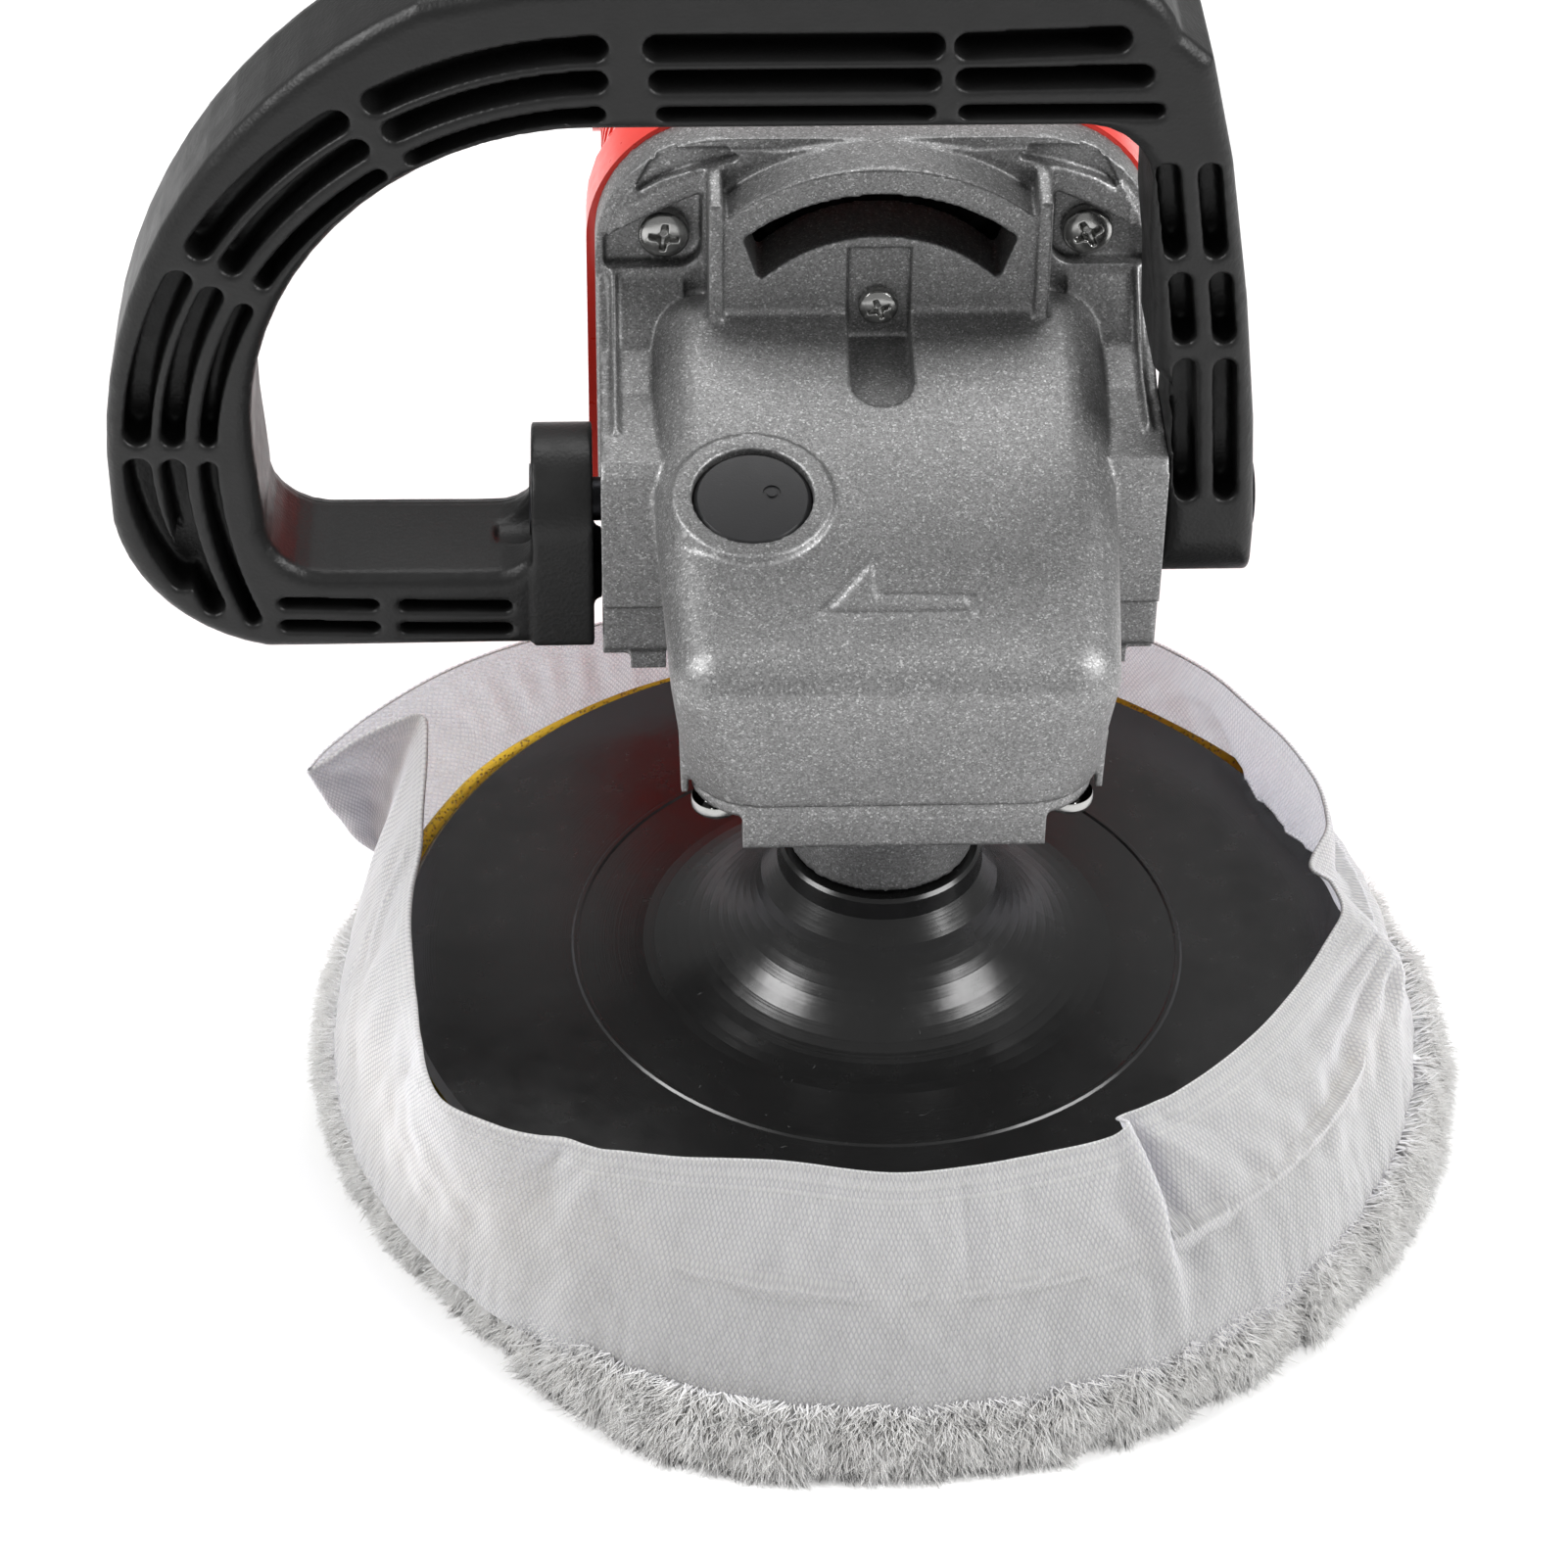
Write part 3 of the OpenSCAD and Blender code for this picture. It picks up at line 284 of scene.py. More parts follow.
def moulded_black():
    """Grained black plastic of the loop handle and rear handle, faintly scuffed."""
    p = Paint("handle_plastic")
    scuff = p.ramp(p.noise(0.0016, 6, 0.7, 2.0), ((0.62, 0), (0.74, 0.35)))
    p.colour(p.mix(scuff, grey(0.009), grey(0.022)))
    p.roughness(p.ramp(p.noise(0.005, 5), ((0.3, 0.37), (0.7, 0.47))))
    p.bump(p.voronoi(0.0007), 0.00004)
    p.bump(p.noise(0.0003, 2), 0.00002)
    p.set(Specular_IOR_Level=0.3)
    return p.material


def plate_black():
    """Smooth black plastic of the backing plate with faint concentric lines and light scuffs."""
    p = Paint("plate_plastic")
    split = p.add("ShaderNodeSeparateXYZ", {0: p.place()})
    x, y = split.outputs[0], split.outputs[1]
    radius = p.math("SQRT", p.math("ADD", p.math("MULTIPLY", x, x), p.math("MULTIPLY", y, y)))
    rings_across = p.math("MULTIPLY", radius, 2500.0)
    rings = p.add("ShaderNodeTexNoise", {"W": rings_across, "Scale": 1.0, "Detail": 2.0},
                  noise_dimensions="1D").outputs["Fac"]
    scuff = p.ramp(p.noise(0.0035, 8, 0.72, 3.0), ((0.665, 0), (0.70, 1)))
    dust = p.ramp(p.noise(0.0007, 3), ((0.70, 0), (0.78, 0.6)))
    base = p.mix(p.math("MULTIPLY", scuff, 0.12), grey(0.007), grey(0.2))
    p.colour(p.mix(p.math("MULTIPLY", dust, 0.15), base, grey(0.25)))
    p.roughness(p.ramp(p.noise(0.006, 6, 0.6), ((0.3, 0.20), (0.75, 0.30))))
    p.bump(p.noise(0.007, 2), 0.00006)
    p.bump(rings, 0.000012)
    p.bump(scuff, 0.00003)
    return p.material


def red_shell():
    """Glossy red plastic of the motor housing."""
    p = Paint("red_plastic")
    p.colour(p.mix(p.noise(0.01, 3), (0.62, 0.022, 0.012), (0.78, 0.035, 0.02)))
    p.roughness(p.ramp(p.noise(0.003, 4), ((0.3, 0.26), (0.7, 0.38))))
    p.bump(p.noise(0.0005, 2), 0.000015)
    p.set(Subsurface_Weight=0.05, Coat_Weight=0.2)
    p.shader["Subsurface Radius"].default_value = (0.002, 0.0006, 0.0004)
    return p.material


def circuit_board():
    """Green board with lighter tracks."""
    p = Paint("circuit")
    p.colour(p.mix(p.ramp(p.voronoi(0.003, "DISTANCE_TO_EDGE"), ((0.04, 1), (0.08, 0))),
                   (0.012, 0.08, 0.03), (0.04, 0.22, 0.08)))
    p.roughness(p.ramp(p.noise(0.001, 3), ((0.3, 0.3), (0.7, 0.45))))
    p.bump(p.voronoi(0.002), 0.00008)
    return p.material


def felt_paint():
    """Grey-brown felt of the dust seal."""
    p = Paint("felt")
    p.colour(p.mix(p.noise(0.0006, 5), (0.16, 0.15, 0.13), (0.34, 0.31, 0.27)))
    p.bump(p.noise(0.0005, 5, 0.7), 0.0002)
    p.set(Roughness=0.97, Sheen_Weight=0.4)
    return p.material


def copper_wire():
    """Close turns of enamelled copper wire."""
    p = Paint("copper")
    p.colour(p.mix(p.noise(0.0015, 4), (0.45, 0.16, 0.06), (0.78, 0.36, 0.17)))
    wave = p.add("ShaderNodeTexWave", {"Vector": p.place(), "Scale": 900.0, "Distortion": 1.5, "Detail": 1.0})
    p.bump(wave.outputs["Fac"], 0.00015)
    p.roughness(p.ramp(p.noise(0.001, 3), ((0.3, 0.25), (0.7, 0.4))))
    p.set(Metallic=1.0)
    return p.material


def laminations():
    """Stacked sheets of electrical steel: thin lines square to the motor axis."""
    p = Paint("core_steel")
    wave = p.add("ShaderNodeTexWave", {"Vector": p.place(), "Scale": 320.0, "Distortion": 0.4, "Detail": 1.0},
                 bands_direction="Y")
    p.colour(p.mix(wave.outputs["Fac"], (0.18, 0.18, 0.19), (0.42, 0.42, 0.44)))
    p.bump(wave.outputs["Fac"], 0.0001)
    p.roughness(p.ramp(p.noise(0.002, 4), ((0.3, 0.4), (0.7, 0.6))))
    p.set(Metallic=0.9)
    return p.material


def foam_paint():
    """Yellow open foam with fine pores."""
    p = Paint("yellow_foam")
    pores = p.ramp(p.voronoi(0.0009), ((0.12, 0), (0.42, 1)))
    # painted shade: the pores' centres are darker, for the shade inside the holes
    base = p.mix(pores, (0.42, 0.22, 0.01), (0.92, 0.62, 0.03))
    p.colour(p.mix(p.ramp(p.noise(0.015, 3), ((0.4, 0), (0.7, 0.4))), base, (0.8, 0.48, 0.02)))
    p.bump(pores, 0.0003)
    p.bump(p.noise(0.0004, 3), 0.00012)
    p.set(Roughness=0.95, Sheen_Weight=0.3)
    return p.material


def wool_paint():
    """Warm white pile, with painted shade between its locks."""
    p = Paint("wool")
    # painted shade: the noise darkens the pile's white between its locks, where shade falls
    locks = p.ramp(p.noise(0.004, 5, 0.65), ((0.32, 0), (0.62, 1)))
    p.colour(p.mix(locks, (0.90, 0.88, 0.85), (0.985, 0.975, 0.955)))
    p.bump(p.noise(0.0012, 5, 0.7), 0.00025)
    p.set(Roughness=0.95, Sheen_Weight=0.8, Sheen_Roughness=0.5)
    p.set(Subsurface_Weight=0.7, Subsurface_Scale=1.0)
    p.shader["Subsurface Radius"].default_value = (0.005, 0.0047, 0.0043)
    p.shader["Specular IOR Level"].default_value = 0.15
    return p.material


STITCH = 0.95 * MM           # spacing of the knit's stitches along a row
ROW = 1.8 * MM               # two rows of stitches, each half a stitch off the other
HEM_LINES = (0.5 * MM, 2.4 * MM, 4.6 * MM)   # places of the hem's sewn lines, from the skirt's edge
HEM_LINE_WIDTH = 0.55 * MM


def mesh_fabric_paint():
    """White polyester knit: rows of raised stitches, with three sewn lines along the hem."""
    p = Paint("white_mesh")
    split = p.add("ShaderNodeSeparateXYZ", {0: p.place(uv=True)})
    u, v = split.outputs[0], split.outputs[1]
    across = p.math("MULTIPLY", u, math.pi / STITCH)
    along = p.math("MULTIPLY", v, math.pi / ROW)
    one = p.math("COSINE", p.math("ADD", across, along))
    two = p.math("COSINE", p.math("SUBTRACT", across, along))
    stitch = p.math("ABSOLUTE", p.math("MULTIPLY", one, two))
    yarn = p.ramp(stitch, ((0.08, 0), (0.75, 1)), smooth=True)
    shade = p.mix(p.noise(0.02, 4), (0.50, 0.49, 0.57), (0.56, 0.55, 0.63))
    base = p.mix(yarn, shade, (0.79, 0.78, 0.84))
    sewn = None
    for place in HEM_LINES:
        apart = p.math("ABSOLUTE", p.math("SUBTRACT", p.math("ABSOLUTE", v), place))
        line = p.ramp(p.math("DIVIDE", apart, HEM_LINE_WIDTH), ((0.3, 1), (1.0, 0)), smooth=True)
        sewn = line if sewn is None else p.math("MAXIMUM", sewn, line)
    p.colour(p.mix(p.math("MULTIPLY", sewn, 0.25), base, (0.84, 0.83, 0.88)))
    p.bump(yarn, 0.00012)
    p.bump(sewn, 0.00005)
    p.bump(p.noise(0.0016, 3), 0.00006)
    p.set(Roughness=0.6, Sheen_Weight=0.1, Subsurface_Weight=0.85, Subsurface_Scale=1.0)
    p.shader["Subsurface Radius"].default_value = (0.005, 0.005, 0.0055)
    p.shader["Specular IOR Level"].default_value = 0.25
    return p.material


PAINTS = {
    "case_alloy": cast_alloy(),
    "zinc_fasteners": metal("zinc_fasteners", (0.42, 0.42, 0.41), 0.22),
    "black_fasteners": metal("black_fasteners", (0.05, 0.05, 0.055), 0.38),
    "ground_steel": metal("ground_steel", (0.55, 0.55, 0.56), 0.24),
    "gear_steel": metal("gear_steel", (0.30, 0.30, 0.31), 0.34),
    "spring_steel": metal("spring_steel", (0.46, 0.46, 0.48), 0.30),
    "core_steel": laminations(),
    "copper": copper_wire(),
    "holder_brass": metal("holder_brass", (0.72, 0.52, 0.20), 0.30),
    "carbon": plastic("carbon", (0.03, 0.03, 0.032), 0.65, 0.0004, 0.00003),
    "handle_plastic": moulded_black(),
    "control_plastic": plastic("control_plastic", (0.012, 0.012, 0.013), 0.42, 0.0004, 0.00002, dust=0.12),
    "plate_plastic": plate_black(),
    "red_plastic": red_shell(),
    "inner_plastic": plastic("inner_plastic", (0.05, 0.05, 0.055), 0.5, 0.0006, 0.00003),
    "circuit": circuit_board(),
    "black_rubber": plastic("black_rubber", (0.016, 0.016, 0.017), 0.72, 0.0003, 0.00002),
    "felt": felt_paint(),
    "yellow_foam": foam_paint(),
    "wool": wool_paint(),
    "white_mesh": mesh_fabric_paint(),
}


# ---------------------------------------------------------------- pieces

SLOT_OF = {part["node"]: part["material_slot"] for part in frame["record"]["subparts"]}
BODIES = frame["record"]["behaviour"]["bodies"]
BODY_OF = {node: body for body, nodes in BODIES.items() for node in nodes}


def new_piece(name, mesh, body, slot):
    """Puts a mesh in the scene as a piece that rides on a body, painted with its slot's finish."""
    mesh.polygons.foreach_set("use_smooth", [True] * len(mesh.polygons))
    obj = bpy.data.objects.new(name, mesh)
    bpy.context.scene.collection.objects.link(obj)
    mesh.materials.clear()
    mesh.materials.append(PAINTS[slot])
    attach(obj, body)
    return obj


def grid_mesh(name, points, uv=None):
    """A mesh from points[u][v], closed in u; uv gives each point's place on the flat cloth, in metres."""
    count_u, count_v = points.shape[:2]
    i = np.arange(count_u)[:, None]
    j = np.arange(count_v - 1)[None, :]
    k = (i + 1) % count_u
    here, there = i * count_v + j, k * count_v + j
    quads = np.stack([here, there, there + 1, here + 1], axis=-1)
    mesh = bpy.data.meshes.new(name)
    mesh.from_pydata(points.reshape(-1, 3).tolist(), [], quads.reshape(-1, 4).tolist())
    if uv is not None:
        corner = np.zeros((len(mesh.loops), 2))
        flat_u, flat_v = uv
        indices = np.zeros(len(mesh.loops), int)
        mesh.loops.foreach_get("vertex_index", indices)
        corner[:, 0] = flat_u.reshape(-1)[indices]
        corner[:, 1] = flat_v.reshape(-1)[indices]
        wrap = corner.reshape(-1, 4, 2)
        seam = (wrap[:, :, 0].max(1) - wrap[:, :, 0].min(1)) > flat_u.max() / 2
        wrap[seam, :, 0] += np.where(wrap[seam, :, 0] < flat_u.max() / 2, flat_u.max(), 0)
        layer = mesh.uv_layers.new(name="flat")
        layer.data.foreach_set("uv", corner.reshape(-1))
    return mesh


MOST_TRIANGLES = 190000      # of a softened piece
WELD = 1e-6                  # points closer than this are one, in metres


# Castings and mouldings with rounded edges: voxel size in mm, rounds of smoothing.
SOFTENED = {
    "gear_case": (0.5, 3),
    "bearing_retainer": (0.5, 3),
    "loop_handle": (0.55, 3),
    "rear_handle_left": (0.8, 4),
    "rear_handle_right": (0.8, 4),
    "trigger": (0.5, 4),
}


def evaluated(obj):
    """The mesh of an object with its modifiers applied."""
    bpy.context.view_layer.update()
    graph = bpy.context.evaluated_depsgraph_get()
    return bpy.data.meshes.new_from_object(obj.evaluated_get(graph))


def soften(node, voxel, rounds):
    """Replaces a casting or moulding by the same shape with rounded edges."""
    mesh = NODES[node].data.copy()
    work = bmesh.new()
    work.from_mesh(mesh)
    bmesh.ops.remove_doubles(work, verts=work.verts, dist=WELD)
    work.to_mesh(mesh)
    work.free()
    temp = bpy.data.objects.new(node + "_work", mesh)
    bpy.context.scene.collection.objects.link(temp)
    remesh = temp.modifiers.new("remesh", "REMESH")
    remesh.mode = "VOXEL"
    remesh.voxel_size = voxel * MM
    smooth = temp.modifiers.new("smooth", "SMOOTH")
    smooth.factor = 0.5
    smooth.iterations = rounds
    result = evaluated(temp)
    triangles = 2 * len(result.polygons)
    if triangles > MOST_TRIANGLES:
        temp.modifiers.clear()
        temp.data = result
        fewer = temp.modifiers.new("fewer", "DECIMATE")
        fewer.ratio = MOST_TRIANGLES / triangles
        result = evaluated(temp)
    bpy.data.objects.remove(temp)
    piece = new_piece(node + "_cast", result, BODY_OF[node], SLOT_OF[node])
    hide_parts(node)
    return piece


def pan_head(radius, height, count=72, rings=26):
    """Points of a domed screw head round +Z, sitting on z = 0, with a cross recess."""
    turns = np.linspace(0, 2 * math.pi, count, endpoint=False)
    share = np.concatenate([np.linspace(0.01, 0.72, rings - 8), np.linspace(0.76, 1.0, 8)])
    side = [(1.0, 0.45), (1.0, 0.12), (0.97, 0.0)]
    points = np.zeros((count, rings + len(side), 3))
    for j, part in enumerate(share):
        x, y = part * np.cos(turns), part * np.sin(turns)
        dome = 0.52 + 0.48 * np.sqrt(np.maximum(1 - part ** 2.6, 0))
        long_way = np.maximum(abs(x), abs(y))
        wide_way = np.minimum(abs(x), abs(y))
        arm = np.clip((0.155 - 0.05 * long_way - wide_way) / 0.06, 0, 1)
        end = np.clip((0.60 - long_way) / 0.12, 0, 1)
        slope = 0.75 - 0.55 * long_way
        core = np.clip((0.27 - np.hypot(x, y)) / 0.07, 0, 1) * 0.75
        recess = np.maximum(arm * end * slope, core)
        points[:, j] = np.stack([x * radius, y * radius, (dome - recess * 0.85) * height], axis=1)
    for k, (wide, level) in enumerate(side):
        points[:, rings + k] = np.stack([wide * radius * np.cos(turns), wide * radius * np.sin(turns),
                                         np.full(count, level * height)], axis=1)
    return points


def fine_screws(node, places, radius, height):
    """Finely cut screws in place of a node's plain ones.

    Each place is the head's seat, its outward axis, and the shank's length and radius, in mm.
    """
    sides = 24
    turn = np.linspace(0, 2 * math.pi, sides, endpoint=False)
    vertices, faces = [], []
    for number, (seat, axis, length, shank) in enumerate(places):
        spin = Matrix.Rotation(0.35 + 1.1 * number, 4, "Z")
        aim = Vector(axis).to_track_quat("Z", "Y").to_matrix().to_4x4()
        frame_at = Matrix.Translation(Vector(seat) * MM) @ aim @ spin
        profile = [(shank, 0.2), (shank, -length + shank), (shank * 0.5, -length), (0.02, -length)]
        rod = np.zeros((sides, len(profile), 3))
        for k, (r, z) in enumerate(profile):
            rod[:, k] = np.stack([r * np.cos(turn), r * np.sin(turn), np.full(sides, z)], axis=1)
        for shape in (pan_head(radius, height), rod):
            piece = grid_mesh("temp", shape[::-1] * MM)
            start = len(vertices)
            vertices += [tuple(frame_at @ v.co) for v in piece.vertices]
            faces += [tuple(start + i for i in polygon.vertices) for polygon in piece.polygons]
            bpy.data.meshes.remove(piece)
    mesh = bpy.data.meshes.new(node + "_fine")
    mesh.from_pydata(vertices, [], faces)
    piece = new_piece(node + "_fine", mesh, BODY_OF[node], SLOT_OF[node])
    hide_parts(node)


CASE_HEAD = (4.7, 3.4)       # radius and height of a screw's head, in mm
CENTRE_HEAD_HEIGHT = 2.8
RETAINER_HEAD = (4.4, 3.2)


def make_screws():
    """The screws that show: at the case's flange, on the hood, and under the bearing retainer."""
    front, down = (0, -1, 0), (0, 0, -1)
    low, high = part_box("case_screws")
    head, tall = CASE_HEAD
    at_x = high.x / MM - head
    levels = (low.z / MM + head, high.z / MM - head)
    seat = low.y / MM + tall
    places = [((x, seat, z), front, 22, 2.4) for x in (-at_x, at_x) for z in levels]
    fine_screws("case_screws", places, head, tall)
    low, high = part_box("centre_screw")
    head, tall = (high.x - low.x) / MM / 2, CENTRE_HEAD_HEIGHT
    middle = (0, low.y / MM + tall, (low.z + high.z) / MM / 2)
    fine_screws("centre_screw", [(middle, front, (high.y - low.y) / MM - tall, 1.7)], head, tall)
    low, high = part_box("retainer_screws")
    head, tall = RETAINER_HEAD
    at_x, at_y, seat = high.x / MM - head, high.y / MM - head, low.z / MM + tall
    places = [((sx * at_x, sy * at_y, seat), down, 13, 1.95) for sx in (-1, 1) for sy in (-1, 1)]
    fine_screws("retainer_screws", places, head, tall)


def make_foam():
    """The foam disc under the plate, its edge bulging and slightly uneven."""
    low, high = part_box("foam_disc")
    radius = high.x
    rng = np.random.default_rng(5)
    turns = np.linspace(0, 2 * math.pi, 480, endpoint=False)
    z0, z1 = low.z, high.z
    mid, half = (z0 + z1) / 2, (z1 - z0) / 2
    bulge = [(radius - 1.2 * MM + 1.6 * MM * math.cos(a), mid + half * math.sin(a))
             for a in np.linspace(-1.45, 1.45, 12)]
    lip = [(radius + 1.4 * MM, z1 - 3 * MM), (radius + 2.1 * MM, z1), (radius + 1.9 * MM, z1 + 1.8 * MM),
           (radius + 0.9 * MM, z1 + 2.6 * MM), (radius - 0.4 * MM, z1 + 1.8 * MM), (radius - 0.8 * MM, z1)]
    profile = [(SMALLEST_RING, z0), (0.4 * radius, z0), (radius - 4 * MM, z0)] + bulge[:8] + lip
    profile += [(radius - 4 * MM, z1), (0.4 * radius, z1), (SMALLEST_RING, z1)]
    ripples = zip((3, 5, 9, 17), (0.3, 0.3, 0.2, 0.12), rng.uniform(0, 6, 4))
    wobble = sum(a * np.cos(n * turns + f) for n, a, f in ripples)
    points = np.zeros((len(turns), len(profile), 3))
    for j, (r, z) in enumerate(profile):
        reach = r + np.where(r > radius * 0.9, wobble * MM, 0)
        level = np.full(len(turns), z)
        points[:, j] = np.stack([reach * np.cos(turns), reach * np.sin(turns), level], axis=1)
    foam = new_piece("foam_pad", grid_mesh("foam_pad", points), SPINDLE, "yellow_foam")
    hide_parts("foam_disc")


# Outline of the pile seen from above: azimuth in degrees, radius in millimetres.
PILE_OUTLINE = [
    (-170, 105), (-155, 103), (-137, 102), (-122, 107), (-110, 110), (-92, 107.5), (-75, 107),
    (-50, 106), (-33, 108), (-17, 109.5), (0, 110.5), (20, 109), (45, 108), (70, 109), (95, 107.5),
    (120, 109), (145, 107), (168, 108),
]
LOCK_PIECES = 5
LOCKS_PER_PIECE = 15500
LOCK_REACH = 4.5             # how far the locks stand past the pile's body, in mm


def periodic(table, angles):
    """Smooth closed interpolation of (degrees, value) pairs, sorted by angle."""
    degrees = np.array([row[0] for row in table], float)
    values = np.array([row[1] for row in table], float)
    degrees = np.concatenate([degrees - 360, degrees, degrees + 360])
    values = np.concatenate([values] * 3)
    at = (angles + 180) % 360 - 180
    i = np.clip(np.searchsorted(degrees, at, side="right") - 1, 1, len(degrees) - 3)
    x0, x1 = degrees[i], degrees[i + 1]
    t = (at - x0) / (x1 - x0)
    m0 = (values[i + 1] - values[i - 1]) / (degrees[i + 1] - degrees[i - 1]) * (x1 - x0)
    m1 = (values[i + 2] - values[i]) / (degrees[i + 2] - degrees[i]) * (x1 - x0)
    t2, t3 = t * t, t * t * t
    ends = (2 * t3 - 3 * t2 + 1) * values[i] + (t3 - 2 * t2 + t) * m0
    return ends + (-2 * t3 + 3 * t2) * values[i + 1] + (t3 - t2) * m1


def waves(rng, angles, heights, lows, highs, count, amplitude, tilt=0.0):
    """A sum of waves round the axis: between lows and highs cycles per turn, leaning by tilt with height."""
    total = np.zeros(np.broadcast(angles, heights).shape)
    for _ in range(count):
        n = rng.integers(lows, highs)
        wave = np.cos(n * (angles + tilt * rng.normal() * heights) + rng.uniform(0, 2 * math.pi))
        total += wave * rng.uniform(0.4, 1)
    return total * amplitude / math.sqrt(count)


def make_pile_body(rng):
    """The uneven body of the pile, under its locks."""
    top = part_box("bonnet_wool")[1].z
    turns = np.linspace(0, 2 * math.pi, 720, endpoint=False)
    outline = periodic(PILE_OUTLINE, np.degrees(turns)) * MM - LOCK_REACH * MM
    # Each row: a share of the outline's radius taken off near the middle, a length in metres at the
    # rim, and the height in mm.
    under = [(-1.0, 0.9), (-0.6, 0.7), (-0.3, 0.5), (-8 * MM, 0.2), (-4 * MM, 0.3), (-1.5 * MM, 1.2)]
    rim = [(-0.3 * MM, 3.2), (0.0, 5.5), (-0.2 * MM, 8), (-1.0 * MM, 10.5), (-2.5 * MM, 12.5)]
    over = [(-6 * MM, 14), (-12 * MM, 15), (-0.5, 15.6), (-1.0, 15.8)]
    profile = under + rim + over
    points = np.zeros((len(turns), len(profile), 3))
    for j, (shift, z) in enumerate(profile):
        reach = outline * (1 + shift) if shift <= -0.3 else outline + shift
        reach = np.maximum(reach, SMALLEST_RING)
        rough = 1.0 if shift > -0.3 else 0.0
        reach = reach + waves(rng, turns, z / 10, 20, 160, 10, 0.7 * MM) * rough
        lift = waves(rng, turns, 0, 20, 120, 6, 0.35) * rough
        level = np.clip((z + lift) * MM, GROUND, top)
        points[:, j] = np.stack([reach * np.cos(turns), reach * np.sin(turns), level], axis=1)
    body = new_piece("wool_body", grid_mesh("wool_body", points), SPINDLE, "wool")
    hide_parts("bonnet_wool")


def lock_paths(rng, part):
    """Start, heading, curl and length of each lock of one piece, round its share of the rim."""
    per = LOCKS_PER_PIECE
    azimuth = (rng.uniform(0, 1, per) + part) * 2 * math.pi / LOCK_PIECES
    under = rng.uniform(0, 1, per) < 0.16
    level = np.where(under, 0.8, rng.uniform(0.3, 13.2, per))
    rim_inset = np.interp(level, [0, 3, 8, 13.2], [2.2, 0.6, 0.8, 3.6])
    inset = np.where(under, rng.uniform(2, 40, per), rim_inset)
    radius = periodic(PILE_OUTLINE, np.degrees(azimuth)) * MM - (LOCK_REACH + inset) * MM
    clump = waves(np.random.default_rng(3), azimuth, level / 14, 25, 90, 9, 1.0, 0.1)
    swirl = waves(np.random.default_rng(4), azimuth, level / 14, 12, 60, 7, 0.5, 0.1)
    swirl = swirl + rng.normal(0, 0.16, per)
    outward = np.stack([np.cos(azimuth), np.sin(azimuth), np.zeros(per)], axis=1)
    side = np.stack([-np.sin(azimuth), np.cos(azimuth), np.zeros(per)], axis=1)
    rim_rise = np.interp(level, [0, 6, 13], [-0.25, 0.0, 0.55])
    rise = np.where(under, -0.05, rim_rise) + rng.normal(0, 0.14, per)
    length = rng.uniform(4.2, 6.6, per) * (1 + 0.22 * np.clip(clump, -1.5, 1.5)) * MM
    length *= np.where(under, 0.8, 1.0)
    start = outward * radius[:, None]
    start[:, 2] = level * MM
    up = np.array([0, 0, 1])
    heading = outward + side * swirl[:, None] + up * rise[:, None]
    heading /= np.linalg.norm(heading, axis=1)[:, None]
    curl = side * rng.normal(0, 0.25, per)[:, None] - up * rng.uniform(0.05, 0.42, per)[:, None]
    return start, heading, curl, length


def make_locks(rng, part):
    """One piece of tapered, curved locks: each a three-sided spike."""
    per, sides = LOCKS_PER_PIECE, 3
    stations = ((0.0, 1.0), (0.5, 0.8), (1.0, 0.1))     # share of the length, share of the thickness
    start, heading, curl, length = lock_paths(rng, part)
    thick = rng.uniform(0.14, 0.27, per) * MM
    across = np.cross(heading, rng.normal(0, 1, (per, 3)))
    across /= np.linalg.norm(across, axis=1)[:, None]
    sideways = np.cross(heading, across)
    vertices = np.zeros((per, len(stations) * sides, 3))
    for s, (t, w) in enumerate(stations):
        centre = start + heading * (length * t)[:, None] + curl * (length * t * t)[:, None]
        for k in range(sides):
            a = 2 * math.pi * k / sides
            spoke = across * math.cos(a) + sideways * math.sin(a)
            vertices[:, s * sides + k] = centre + spoke * (thick * w)[:, None]
    vertices[:, :, 2] = np.clip(vertices[:, :, 2], GROUND, None)
    local = []
    for s in range(len(stations) - 1):
        for k in range(sides):
            a, b = s * sides + k, s * sides + (k + 1) % sides
            local.append((a, b, b + sides, a + sides))
    first = np.arange(per)[:, None, None] * len(stations) * sides
    faces = (first + np.array(local)[None]).reshape(-1, 4)
    name = f"wool_locks_{part + 1}"
    mesh = bpy.data.meshes.new(name)
    mesh.from_pydata(vertices.reshape(-1, 3).tolist(), [], faces.tolist())
    locks = new_piece(name, mesh, SPINDLE, "wool")


def make_wool():
    """The wool pile: an uneven body, and thousands of tapered locks over its rim and underside."""
    rng = np.random.default_rng(11)
    make_pile_body(rng)
    for part in range(LOCK_PIECES):
        make_locks(rng, part)


